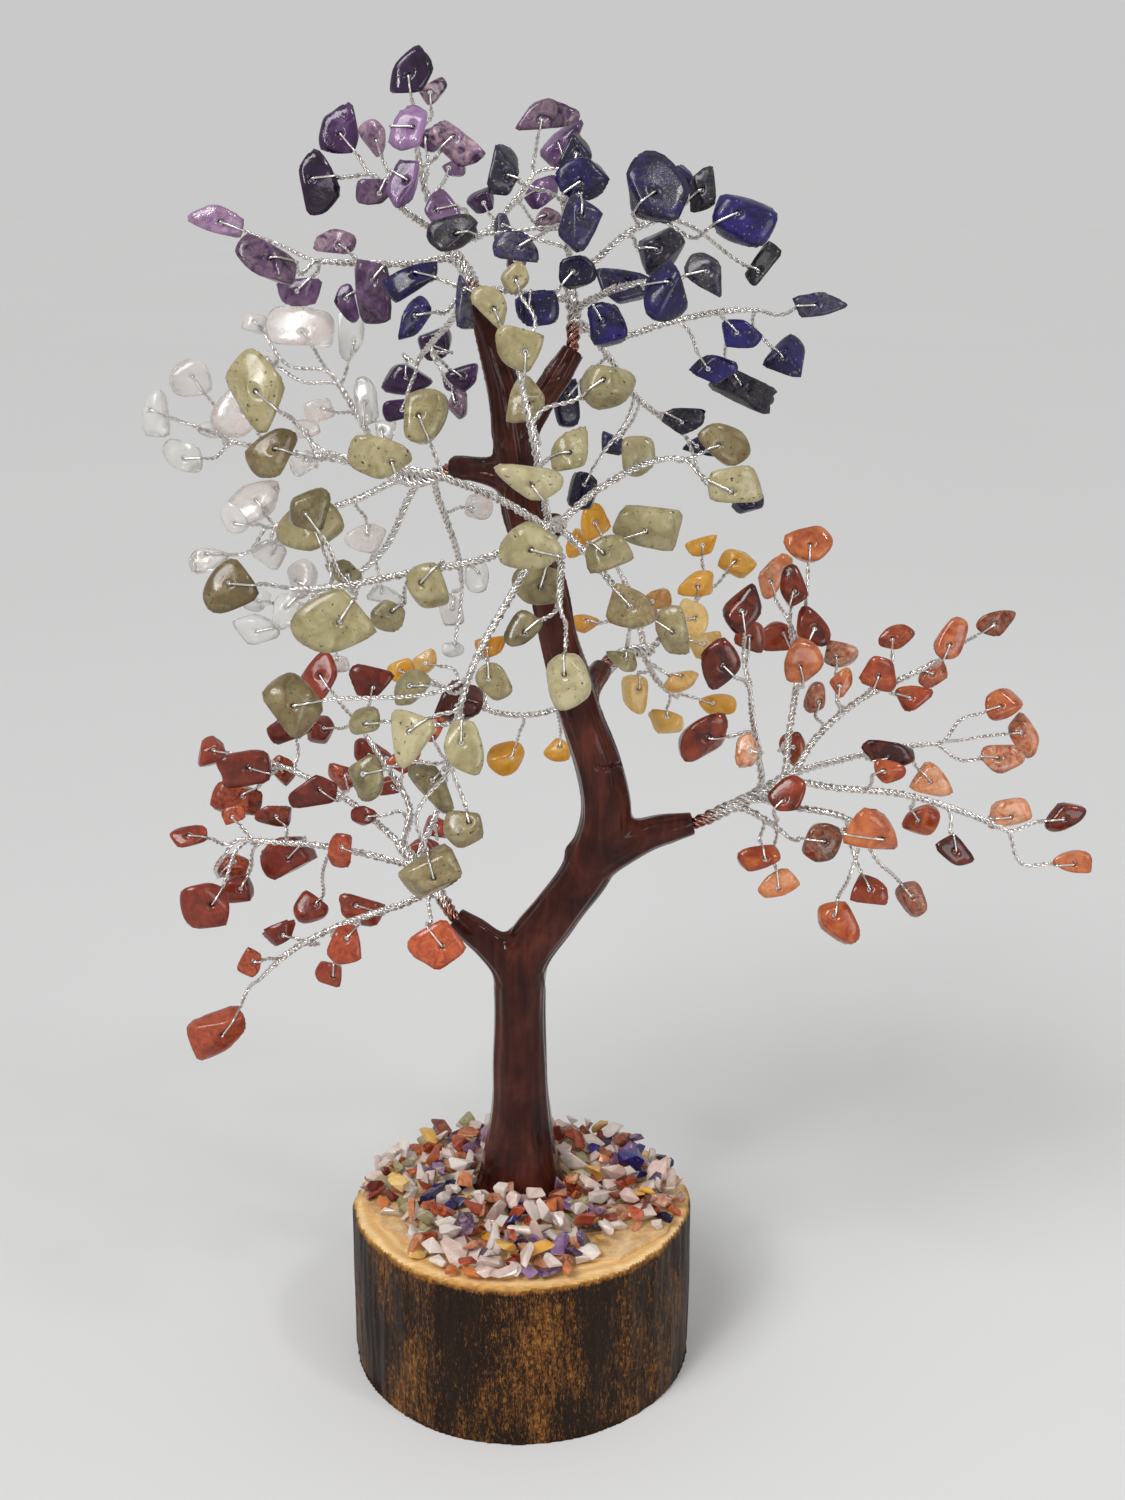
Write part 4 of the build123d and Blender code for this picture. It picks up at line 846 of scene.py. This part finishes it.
def limb_tube(rows):
    """A smooth limb through rows of place and radius, with a hollow where a rope comes out."""
    line = smooth_line(rows, LIMB_STEP)
    centres = line[:, :3]
    first, second = carried_axes(centres)
    end = centres[-1]
    bottom = end - unit(np.gradient(centres, axis=0))[-1] * SOCKET_DEPTH
    centres = np.vstack((centres, end, bottom, bottom))
    radii = np.concatenate((line[:, 3], (MOUTH_RADIUS, MOUTH_RADIUS * SOCKET_TAPER_SHARE, SOCKET_TIP)))
    first, second = (np.vstack((axes, np.tile(axes[-1], (3, 1)))) for axes in (first, second))
    return tube_points(centres, first, second, radii, LIMB_SIDES), tube_faces(len(centres), LIMB_SIDES)


# The trunk as it stands in the photograph: across, down, depth behind the trunk's plane, radius
LIMB_ROWS = (
    (520, 1132, 0, 7.3), (520, 1080, 0, 6.2), (520, 1000, 0, 5.6), (523, 958, 0, 5.8), (556, 912, 0, 5.2),
    (588, 868, 0, 5.2), (606, 820, 0, 5.5), (600, 770, 0, 4.9), (578, 706, 0, 4.5), (560, 646, 0, 4.0),
    (547, 585, 0, 3.9), (526, 525, 0, 4.2), (516, 450, 0, 4.5), (506, 385, 0, 3.9), (490, 335, 0, 2.9),
    (478, 303, 1.4, 2.42),
)
STUB_ROWS = {
    "jasper": ((524, 975, 0, 4.9), (486, 940, 0, 3.6), (455, 917, 1.4, 2.42)),
    "carnelian": ((596, 858, 0, 4.9), (650, 833, 0, 3.7), (694, 823, 0, 2.42)),
    "green": ((528, 545, 0, 3.7), (540, 534, -5.6, 3.1), (556, 524, -13.3, 2.42)),
    "quartz": ((524, 480, 0, 3.7), (484, 471, 1.4, 3.0), (452, 467, 4.9, 2.42)),
    "lapis": ((514, 440, 0, 3.7), (548, 390, 1.4, 2.8), (574, 350, 3.5, 2.42)),
    "yellow": ((580, 712, 0, 3.7), (588, 690, 7.0, 3.0), (602, 668, 15.4, 2.42)),
}


def trunk_limbs():
    """The trunk with its flared foot, and the stubs, each as rows of place and radius."""
    limbs = []
    for rows in (LIMB_ROWS, *STUB_ROWS.values()):
        limbs.append([np.append(seen(*row[:3]), row[3]) for row in rows])
    foot = np.array((limbs[0][0][0], TRUNK_SETBACK, LOG_TOP - FOOT_DEPTH, FOOT_RADIUS))
    limbs[0] = [foot + (0.0, 0.0, up, wider) for up, wider in FOOT_FLARE] + limbs[0]
    return limbs


def about_limbs(points, limbs):
    """Each point's turn about the limb nearest to it, and how far along the limbs it stands."""
    best = np.full(len(points), np.inf)
    angle = np.zeros(len(points))
    height = np.zeros(len(points))
    passed = 0.0
    for start, end in [(a[:3], b[:3]) for rows in limbs for a, b in zip(rows, rows[1:])]:
        run = end - start
        length = norm(run)
        share = np.clip((points - start) @ run / (run @ run), 0.0, 1.0)
        off = points - start - share[:, None] * run
        away = norm(off, axis=1)
        side = unit(np.cross(run / length, (0.0, 1.0, 0.02)))
        other = np.cross(run / length, side)
        nearer = away < best
        best = np.where(nearer, away, best)
        angle = np.where(nearer, np.arctan2(off @ other, off @ side), angle)
        height = np.where(nearer, passed + share * length, height)
        passed += length
    return angle, height


def coat_relief(points, limbs):
    """How far the coat rises: ridges over the wires, lumps and knobs, and none at mouths and foot."""
    angle, height = about_limbs(points, limbs)
    random = np.random.default_rng(7)
    lumps = Waves(random, 14, 0.18, 0.5)
    drift = Waves(random, 8, 0.05, 0.16)
    ridges = 0.0
    for strength, number, pitch, drifting, shift in TRUNK_RIDGES:
        turn = number * angle + height / pitch + drifting * drift.at(points + shift)
        ridges = ridges + strength * np.cos(turn)
    twisted = ease(points[:, 2], *TWISTED_EDGE)
    rise = (RIDGE_HEIGHT + TWISTED_RIDGE_HEIGHT * twisted) * ridges + LUMP_HEIGHT * lumps.at(points)
    for across, down, size in TRUNK_KNOBS:
        away = norm(points - seen(across, down, 0.0), axis=1)
        rise = rise + size * np.exp(-(away / (KNOB_WIDTH_SHARE * size)) ** 2)
    from_mouth = away_from(points, [rows[-1][:3] for rows in limbs])
    return rise * (ease(points[:, 2], *RELIEF_EDGE) * ease(from_mouth, *MOUTH_EDGE))


def crack_depth(points, normals):
    """The shallow crack across the trunk's front, where the photograph shows it."""
    across, down = to_pixels(points).T
    middle = CRACK_DOWN + CRACK_WAVE * np.sin(across / CRACK_WAVE_WIDTH)
    depth = np.exp(-((down - middle) / CRACK_WIDTH) ** 2) * (normals[:, 1] < CRACK_FACING)
    return CRACK_DEPTH * depth * ease(across, *CRACK_EDGE) * (across < CRACK_END)


def make_trunk(lacquer):
    """The lacquered coat: smooth limbs that flow into each other, with soft ridges over the wires."""
    limbs = trunk_limbs()
    pile = Pile()
    for rows in limbs:
        pile.add(*limb_tube(rows))
    trunk = new_object("trunk_lacquered_coat", pile.mesh("trunk_lacquered_coat"))
    even_out(trunk, COAT_VOXEL)
    points = mesh_values(trunk, "co") / MM
    forks = [rows[0][:3] * (1 - FORK_SHARE) + rows[1][:3] * FORK_SHARE for rows in limbs[1:]]
    soft = np.clip((FORK_REACH - away_from(points, forks)) / FORK_FADE, 0.0, 1.0)
    above = points[:, 2] > LOG_TOP + COAT_FOOT_HEIGHT
    points = relaxed(trunk, points, rounds=4, share=0.5 * above)
    points = relaxed(trunk, points, rounds=60, share=0.5 * soft * above)
    points[:, 2] = np.maximum(points[:, 2], LOG_TOP)
    set_points(trunk, points)
    normals = mesh_values(trunk, "normal")
    points = points + normals * coat_relief(points, limbs)[:, None]
    points = relaxed(trunk, points, rounds=2, share=0.4 * above)
    points = points - normals * crack_depth(points, normals)[:, None]
    points[:, 2] = np.maximum(points[:, 2], LOG_TOP)
    set_points(trunk, points)
    trunk.data.shade_smooth()
    trunk.data.materials.append(lacquer)
    place_piece(trunk, "stand", "brown_lacquer", "trunk_coat")


def make_log(wood, bark):
    """The slice of log: sawn faces, and a varnished side with long ribs and a ragged rim."""
    log = new_object("log_slice", frame["nodes"]["log_base"].data.copy())
    even_out(log, LOG_VOXEL)
    points = relaxed(log, mesh_values(log, "co") / MM, rounds=3, share=0.5)
    set_points(log, points)
    normals = mesh_values(log, "normal")
    radius = np.hypot(points[:, 0], points[:, 1])
    turn = np.arctan2(points[:, 1], points[:, 0])
    outward = swing(turn, np.array((1.0, 0.0, 0.0)), np.array((0.0, 1.0, 0.0)))
    ring = outward * LOG_RADIUS + points * (0.0, 0.0, RIB_STRETCH)
    random = np.random.default_rng(11)
    ribs = Waves(random, 16, 0.5, 1.4).at(ring) + 0.7 * Waves(random, 16, 1.6, 3.2).at(ring)
    lumps = Waves(random, 10, 0.08, 0.25).at(points)
    inward = SIDE_INSET + RIB_HEIGHT * np.clip(ribs, -0.5, 0.5) + SIDE_LUMP * lumps
    side = ease(radius, *SIDE_EDGE) * (np.abs(normals[:, 2]) < SIDE_TILT)
    points = points - outward * (side * np.clip(inward, *SIDE_INSET_LIMITS))[:, None]
    rim = ease(points[:, 2] - LOG_TOP, -RIM_DEPTH, RIM_DEPTH) * ease(radius, *RIM_EDGE)
    ragged = RAGGED_MEAN + RAGGED_HEIGHT * Waves(random, 18, 0.9, 3.2).at(ring * (1.0, 1.0, 0.0))
    points[:, 2] -= rim * np.clip(ragged, 0.0, RAGGED_LIMIT)
    points[:, 2] = np.clip(points[:, 2], LOG_LOW[2], LOG_TOP)
    set_points(log, points)
    log.data.shade_smooth()
    log.data.materials.append(bark)
    log.data.materials.append(wood)
    for polygon in log.data.polygons:
        middle = np.array(polygon.center) / MM
        edge = SAWN_RADII[int(middle[2] > LOG_HALF_HEIGHT)]
        sawn = abs(polygon.normal.z) > SAWN_TILT and np.hypot(middle[0], middle[1]) < edge
        polygon.material_index = 1 if sawn else 0
    place_piece(log, "stand", "log_wood", "log_base")


# Crushed stone

def shard(size, random):
    """A crushed stone: the hull of random corners, with its edges slightly worn."""
    corners = unit(random.normal(size=(random.integers(8, 13), 3))) * random.uniform(0.75, 1.0)
    corners = corners * size * np.array((1.0, random.uniform(0.55, 0.85), random.uniform(0.35, 0.6)))
    made = bmesh.new()
    for corner in corners:
        made.verts.new(corner)
    hull = bmesh.ops.convex_hull(made, input=made.verts)
    loose = [item for item in hull["geom_interior"] if isinstance(item, bmesh.types.BMVert)]
    bmesh.ops.delete(made, geom=loose, context="VERTS")
    bmesh.ops.dissolve_limit(made, angle_limit=math.radians(14), verts=made.verts, edges=made.edges)
    bmesh.ops.bevel(
        made, geom=list(made.edges), offset=0.07 * size, segments=2, affect="EDGES", profile=0.6,
        clamp_overlap=True,
    )
    made.verts.index_update()
    points = np.array([vertex.co[:] for vertex in made.verts])
    faces = [[vertex.index for vertex in face.verts] for face in made.faces]
    made.free()
    return points, faces


def grit_spots(random):
    """Places, sizes and leans to try: an even first layer, then a loose second one."""
    rows = np.arange(-GRIT_RIM, GRIT_RIM, GRIT_SPACING * GRIT_ROW_SHARE)
    for number, y in enumerate(rows):
        for x in np.arange(-GRIT_RIM, GRIT_RIM, GRIT_SPACING) + number % 2 * GRIT_SPACING / 2:
            spot = np.array((x, y)) + random.uniform(-GRIT_JITTER, GRIT_JITTER, 2)
            yield spot, random.uniform(*FIRST_GRIT_SIZES), GRIT_LEANS[0]
    for _ in range(GRIT_COUNT):
        spot = random.uniform(-GRIT_RIM, GRIT_RIM, 2)
        yield spot, random.uniform(*random.choice(GRIT_SIZES)), GRIT_LEANS[1]


def turned(points, random, lean):
    """Points turned about the upright and leaned over by random amounts."""
    spin = random.uniform(0.0, math.tau)
    over, aside = np.clip(random.normal(0.0, lean, 2), -1.2, 1.2)
    x = points[:, 0] * math.cos(over) + points[:, 2] * math.sin(over)
    z = points[:, 2] * math.cos(over) - points[:, 0] * math.sin(over)
    y = points[:, 1] * math.cos(aside) - z * math.sin(aside)
    z = z * math.cos(aside) + points[:, 1] * math.sin(aside)
    sine, cosine = math.sin(spin), math.cos(spin)
    return np.stack((x * cosine - y * sine, x * sine + y * cosine, z), axis=1)


def resting_height(placed, spot, size):
    """How high a stone lies on the bed and on the stones laid before it."""
    rest = BED_TOP + GRIT_SINK_SHARE * size
    if len(placed):
        across = np.hypot(placed[:, 0] - spot[0], placed[:, 1] - spot[1])
        together = (placed[:, 3] + size) * 0.5
        over = placed[:, 2] + SETTLE_SHARE * np.sqrt(np.maximum(together ** 2 - across ** 2, 0.0))
        rest = max(rest, float(np.where(across < together, over, 0.0).max()))
    return rest


def make_gravel(stones):
    """A heap of crushed stone, two layers deep, laid on the bed one by one."""
    random = np.random.default_rng(21)
    names = list(GRIT_MIX)
    shares = np.array(list(GRIT_MIX.values()))
    piles = {name: Pile() for name in names}
    foot = from_nearest_end(wire_routes("trunk_wire_core", ROPE_CORNERS)[0], np.zeros(3))[1][:2]
    placed = np.zeros((0, 4))
    for spot, size, lean in grit_spots(random):
        turn = math.degrees(math.atan2(spot[1], spot[0])) % 360.0
        out = float(np.interp(turn, *zip(*GRIT_OUTLINE))) - GRIT_RIM_SHARE * size - np.hypot(*spot)
        if out < 0 or norm(spot - foot) < FOOT_RADIUS - GRIT_FOOT_OVERLAP + 0.5 * size:
            continue
        rest = resting_height(placed, spot, size)
        if rest > BED_TOP + GRIT_HEAP * np.clip(HEAP_EDGE_SHARE + out / HEAP_SLOPE, 0.0, 1.0):
            continue
        placed = np.vstack((placed, (*spot, rest, size)))
        points, faces = shard(size, random)
        laid = turned(points, random, lean) + (*spot, rest)
        laid[:, 2] = np.maximum(laid[:, 2], LOG_TOP + GRIT_CLEARANCE)
        laid[:, :2] *= np.minimum(1.0, GRIT_RIM / np.hypot(laid[:, 0], laid[:, 1]))[:, None]
        name = names[int(random.choice(len(names), p=shares / shares.sum()))]
        look = (random.uniform(-0.3, 1.0), random.uniform(0.0, 1.0) ** 2)
        piles[name].add(laid, faces, look)
    for name, pile in piles.items():
        made = pile.piece(f"crushed_{name}", stones["crushed_quartz" if name == "quartz" else name])
        made.data.shade_flat()
        place_piece(made, "stand", f"{name}_stone", f"gravel_{name}")


# Materials

class Graph:
    """The nodes of a material or world, built step by step."""

    def __init__(self, data, shader):
        data.use_nodes = True
        self.data = data
        self.tree = data.node_tree
        self.shader = next(node for node in self.tree.nodes if node.type == shader)

    def put(self, socket, value):
        if isinstance(value, bpy.types.NodeSocket):
            self.tree.links.new(value, socket)
        else:
            socket.default_value = value

    def fill(self, node, inputs):
        """Set or link a node's inputs, whose names are given in small letters with underscores."""
        for name, value in inputs.items():
            self.put(node.inputs[name.replace("_", " ").title().replace("Ior", "IOR")], value)

    def new(self, kind, **inputs):
        node = self.tree.nodes.new("ShaderNode" + kind)
        self.fill(node, inputs)
        return node

    def finish(self, **inputs):
        """Set or link the shader's inputs; returns the material or world."""
        self.fill(self.shader, inputs)
        return self.data

    def math(self, kind, first, second):
        node = self.new("VectorMath" if isinstance(second, tuple) else "Math")
        node.operation = kind
        self.put(node.inputs[0], first)
        self.put(node.inputs[1], second)
        return node.outputs["Value" if kind == "DISTANCE" else 0]

    def total(self, *terms):
        """The sum of values, each times its share."""
        parts = [self.math("MULTIPLY", value, share) for value, share in terms]
        while len(parts) > 1:
            parts[:2] = [self.math("ADD", parts[0], parts[1])]
        return parts[0]

    def span(self, value, low, high, new_low=0.0, new_high=1.0):
        """A value's place between two numbers, spread between two others."""
        limits = {"from_min": low, "from_max": high, "to_min": new_low, "to_max": new_high}
        return self.new("MapRange", value=value, **limits).outputs[0]


class Surface(Graph):
    """A material's nodes, with its patterns laid in millimetres on the piece itself."""

    def __init__(self, name):
        super().__init__(bpy.data.materials.new(name), "BSDF_PRINCIPLED")
        self.place = self.math("MULTIPLY", self.new("TexCoord").outputs["Object"], (1 / MM,) * 3)

    def noise(self, scale, detail=4.0, roughness=0.55, stretch=(1.0, 1.0, 1.0), warp=0.0):
        vector = self.math("MULTIPLY", self.place, stretch)
        look = {"scale": scale, "detail": detail, "roughness": roughness, "distortion": warp}
        return self.new("TexNoise", vector=vector, **look).outputs["Fac"]

    def attribute(self, word):
        node = self.new("Attribute")
        node.attribute_name = word
        return node.outputs["Fac"]

    def ramp(self, fac, *stops):
        node = self.new("ValToRGB")
        self.put(node.inputs[0], fac)
        while len(node.color_ramp.elements) < len(stops):
            node.color_ramp.elements.new(1.0)
        for element, (place, colour) in zip(node.color_ramp.elements, stops):
            element.position = place
            element.color = (*colour, 1.0)
        return node.outputs[0]

    def mix(self, share, *colours):
        node = self.new("Mix")
        node.data_type = "RGBA"
        self.put(node.inputs["Factor"], share)
        for word, colour in zip("AB", colours):
            socket = next(slot for slot in node.inputs if slot.name == word and slot.type == "RGBA")
            self.put(socket, (*colour, 1.0) if isinstance(colour, tuple) else colour)
        return next(slot for slot in node.outputs if slot.type == "RGBA")

    def bump(self, height, strength, distance):
        node = self.new("Bump", height=height, strength=strength, distance=distance * MM)
        return node.outputs["Normal"]


def stone_material(name, colours, second, scale, transmission, roughness, specks=None):
    """A polished gem: patchy colour led by each chip's own lightness and second colour."""
    graph = Surface(name)
    patches = graph.noise(scale, 5.0, 0.6, warp=0.8)
    lightness = graph.total((graph.attribute("tone"), 0.36), (patches, 1.0))
    colour = graph.ramp(lightness, *zip((0.16, 0.5, 0.86), colours))
    veins = graph.span(graph.noise(scale * 1.7, 6.0, 0.65, warp=1.6), 0.38, 0.66)
    colour = graph.mix(graph.math("MULTIPLY", graph.attribute("tint"), veins), colour, second)
    if specks:
        size, low, high, speck_colour = specks
        colour = graph.mix(graph.span(graph.noise(size, 2.0, 0.5), low, high), colour, speck_colour)
    return graph.finish(
        base_color=colour,
        roughness=graph.span(graph.noise(1.4, 3.0, 0.6), 0.3, 0.75, roughness * 0.7, roughness * 1.9),
        normal=graph.bump(graph.noise(0.9, 5.0, 0.6), 0.22, 0.25),
        ior=1.54, transmission_weight=transmission, specular_ior_level=0.3,
        coat_weight=0.15, coat_roughness=0.05,
    )


def wire_material(name, mouth=None):
    """Silver wire; a rope's wires are stained by the trunk's lacquer near its mouth."""
    graph = Surface(name)
    colour = graph.ramp(graph.noise(0.5, 3.0), (0.3, (0.55, 0.52, 0.49)), (0.7, (0.86, 0.83, 0.8)))
    if mouth:
        away = graph.math("DISTANCE", graph.place, mouth)
        ragged = graph.total((away, 1.0), (graph.noise(0.9, 3.0), 5.0))
        colour = graph.mix(graph.span(ragged, *STAIN_REACH, 0.9, 0.0), colour, (0.3, 0.1, 0.06))
    rough = graph.span(graph.noise(1.8, 3.0), 0.3, 0.7, 0.12, 0.28)
    normal = graph.bump(graph.noise(3.0), 0.1, 0.05)
    return graph.finish(base_color=colour, roughness=rough, normal=normal, metallic=1.0)


def lacquer_material():
    graph = Surface("brown_lacquer")
    patches = graph.noise(0.09, 5.0, 0.6, warp=0.5)
    streaks = graph.noise(0.45, 3.0, 0.5, stretch=(1.0, 1.0, 0.12), warp=0.8)
    colour = graph.ramp(
        graph.total((patches, 0.62), (streaks, 0.38)),
        (0.36, (0.017, 0.004, 0.003)), (0.5, (0.045, 0.0095, 0.006)), (0.66, (0.1, 0.023, 0.013)),
    )
    return graph.finish(
        base_color=colour,
        roughness=graph.span(graph.noise(0.7, 4.0), 0.3, 0.75, 0.12, 0.3),
        normal=graph.bump(graph.noise(0.5, 5.0, 0.6, stretch=(1.0, 1.0, 0.3)), 0.14, 0.5),
        specular_ior_level=0.15, ior=1.3, coat_weight=0.6, coat_roughness=0.04, coat_ior=1.3,
    )


def wood_material():
    """The sawn face: pale, with growth rings and fine saw marks."""
    graph = Surface("sawn_wood")
    rings = graph.new(
        "TexWave", vector=graph.place, scale=0.12, distortion=5.0, detail=3.0, detail_scale=0.6
    )
    rings.wave_type = "RINGS"
    rings.rings_direction = "Z"
    colour = graph.ramp(
        rings.outputs["Fac"],
        (0.1, (0.74, 0.44, 0.17)), (0.6, (0.82, 0.53, 0.22)), (0.95, (0.88, 0.62, 0.3)),
    )
    saw = graph.noise(1.0, 4.0, 0.6, stretch=(0.15, 2.2, 1.0))
    colour = graph.mix(graph.span(saw, 0.45, 0.75, 0.0, 0.5), colour, (0.5, 0.28, 0.1))
    normal = graph.bump(graph.math("ADD", saw, graph.noise(2.5)), 0.5, 0.3)
    return graph.finish(base_color=colour, roughness=0.62, normal=normal)


def bark_material():
    """The varnished side: near black, with long flecks of gold and orange brown."""
    graph = Surface("varnished_side")
    streaks = graph.noise(1.3, 8.0, 0.75, stretch=(1.0, 1.0, 0.22), warp=0.5)
    fine = graph.noise(5.0, 6.0, 0.7, stretch=(1.0, 1.0, 0.22))
    patches = graph.noise(0.1, 3.0, 0.5, stretch=(1.0, 1.0, 0.4))
    height = graph.new("SeparateXYZ", vector=graph.place).outputs["Z"]
    fringe = graph.span(height, *RIM_FRINGE, 0.0, 0.5)
    amount = graph.total((patches, 0.5), (streaks, 0.7), (fine, 0.7), (fringe, 1.0))
    dark = graph.ramp(fine, (0.35, (0.003, 0.002, 0.0015)), (0.65, (0.028, 0.012, 0.005)))
    gold = graph.noise(0.9, 5.0, 0.7)
    gold = graph.ramp(gold, (0.4, (0.13, 0.035, 0.009)), (0.66, (0.42, 0.19, 0.035)))
    gold = graph.mix(graph.span(height, *RIM_GOLD), gold, (0.72, 0.42, 0.12))
    return graph.finish(
        base_color=graph.mix(graph.span(amount, 0.95, 1.13), dark, gold),
        roughness=graph.span(fine, 0.3, 0.7, 0.35, 0.6),
        normal=graph.bump(streaks, 0.6, 0.6),
        specular_ior_level=0.12, coat_weight=0.06, coat_roughness=0.12,
    )


def glue_material():
    graph = Surface("clear_glue")
    colour = graph.ramp(graph.noise(0.4), (0.3, (0.55, 0.34, 0.15)), (0.7, (0.82, 0.56, 0.27)))
    rough = graph.span(graph.noise(0.8), 0.3, 0.7, 0.12, 0.35)
    normal = graph.bump(graph.noise(0.6), 0.6, 0.5)
    return graph.finish(base_color=colour, roughness=rough, normal=normal, coat_weight=0.7)


def floor_material():
    graph = Surface("pale_floor")
    colour = graph.ramp(graph.noise(0.002, 1.0), (0.3, (0.734, 0.734, 0.73)), (0.7, (0.744, 0.744, 0.74)))
    return graph.finish(base_color=colour, roughness=0.9, specular_ior_level=0.0)


# Stones: dark, middle and light colour, second colour, scale of the patches, transmission,
# roughness, and where it has them the specks' scale, limits and colour
STONE_LOOKS = {
    "amethyst": (
        ((0.012, 0.004, 0.018), (0.06, 0.017, 0.085), (0.36, 0.2, 0.4)),
        (0.62, 0.42, 0.46), 0.2, 0.25, 0.08,
    ),
    "lapis": (
        ((0.003, 0.002, 0.007), (0.006, 0.004, 0.032), (0.022, 0.014, 0.16)),
        (0.09, 0.08, 0.07), 0.3, 0.0, 0.2, (1.6, 0.66, 0.74, (0.3, 0.24, 0.12)),
    ),
    "quartz": (
        ((0.78, 0.76, 0.72), (0.9, 0.89, 0.86), (0.97, 0.97, 0.96)),
        (0.9, 0.72, 0.65), 0.2, 0.72, 0.08,
    ),
    "crushed_quartz": (
        ((0.45, 0.35, 0.3), (0.72, 0.61, 0.54), (0.88, 0.8, 0.73)),
        (0.78, 0.45, 0.38), 0.3, 0.2, 0.12,
    ),
    "green": (
        ((0.13, 0.1, 0.045), (0.35, 0.3, 0.15), (0.58, 0.52, 0.31)),
        (0.22, 0.13, 0.055), 0.25, 0.15, 0.14, (1.3, 0.64, 0.74, (0.04, 0.035, 0.02)),
    ),
    "yellow": (
        ((0.5, 0.17, 0.01), (0.78, 0.36, 0.03), (0.9, 0.6, 0.16)),
        (0.85, 0.72, 0.42), 0.25, 0.2, 0.12,
    ),
    "carnelian": (
        ((0.05, 0.006, 0.004), (0.36, 0.05, 0.012), (0.8, 0.24, 0.06)),
        (0.88, 0.6, 0.4), 0.26, 0.3, 0.08,
    ),
    "jasper": (
        ((0.05, 0.009, 0.006), (0.17, 0.022, 0.012), (0.36, 0.06, 0.026)),
        (0.58, 0.13, 0.045), 0.28, 0.0, 0.14,
    ),
}


def dress(node, material):
    """A material on a carried-over node, by its object's slots."""
    for slot in frame["nodes"][node].material_slots:
        slot.link = "OBJECT"
        slot.material = material


# Camera, floor and light

def make_camera():
    data = bpy.data.cameras.new("photo_view")
    data.sensor_fit = "HORIZONTAL"
    data.sensor_width = SENSOR_WIDTH
    data.lens = SENSOR_WIDTH * FOCAL_PIXELS / IMAGE_WIDTH
    data.clip_start, data.clip_end = CAMERA_CLIP
    camera = new_object("photo_view", data)
    camera.location = CAMERA_PLACE * MM
    camera.rotation_euler = (math.pi / 2 - CAMERA_PITCH, 0.0, 0.0)
    bpy.context.scene.camera = camera


def make_floor():
    mesh = bpy.data.meshes.new("floor")
    signs = ((-1, -1), (1, -1), (1, 1), (-1, 1))
    mesh.from_pydata([(x * FLOOR_REACH, y * FLOOR_REACH, 0.0) for x, y in signs], [], [(0, 1, 2, 3)])
    mesh.materials.append(floor_material())
    new_object("floor", mesh)


def make_world():
    """Pale light from all round, brighter where the camera, a polish or a clear stone shows it."""
    world = bpy.data.worlds.new("studio")
    bpy.context.scene.world = world
    graph = Graph(world, "BACKGROUND")
    rays = graph.new("LightPath").outputs
    through = graph.math("ADD", rays["Is Glossy Ray"], rays["Is Transmission Ray"])
    shown = graph.math("ADD", rays["Is Camera Ray"], through)
    shown.node.use_clamp = True
    graph.finish(strength=graph.span(shown, 0.0, 1.0, *WORLD_STRENGTHS), color=(1.0, 1.0, 1.0, 1.0))


def make_light(name, place, kind, size, power, spread):
    data = bpy.data.lights.new(name, kind)
    if kind == "SUN":
        data.angle = size
    else:
        data.shape = "DISK"
        data.size = size
        data.spread = math.radians(spread)
    data.energy = power
    lamp = new_object(name, data)
    lamp.location = place
    away = np.array(place) - TREE_MIDDLE
    tilt = math.atan2(math.hypot(away[0], away[1]), away[2])
    lamp.rotation_euler = (tilt, 0.0, math.atan2(away[0], -away[1]))


bpy.context.scene.view_settings.view_transform = "Standard"
make_camera()
make_floor()
make_world()
for name, light in LIGHTS.items():
    make_light(name, *light)

silver = wire_material("silver_wire")
stones = {name: stone_material(name, *look) for name, look in STONE_LOOKS.items()}
for gem in GEMS:
    make_bough(gem, stones[gem], silver)
make_trunk(lacquer_material())
make_log(wood_material(), bark_material())
dress("glue_bed", glue_material())
dress("trunk_wire_core", silver)
make_gravel(stones)
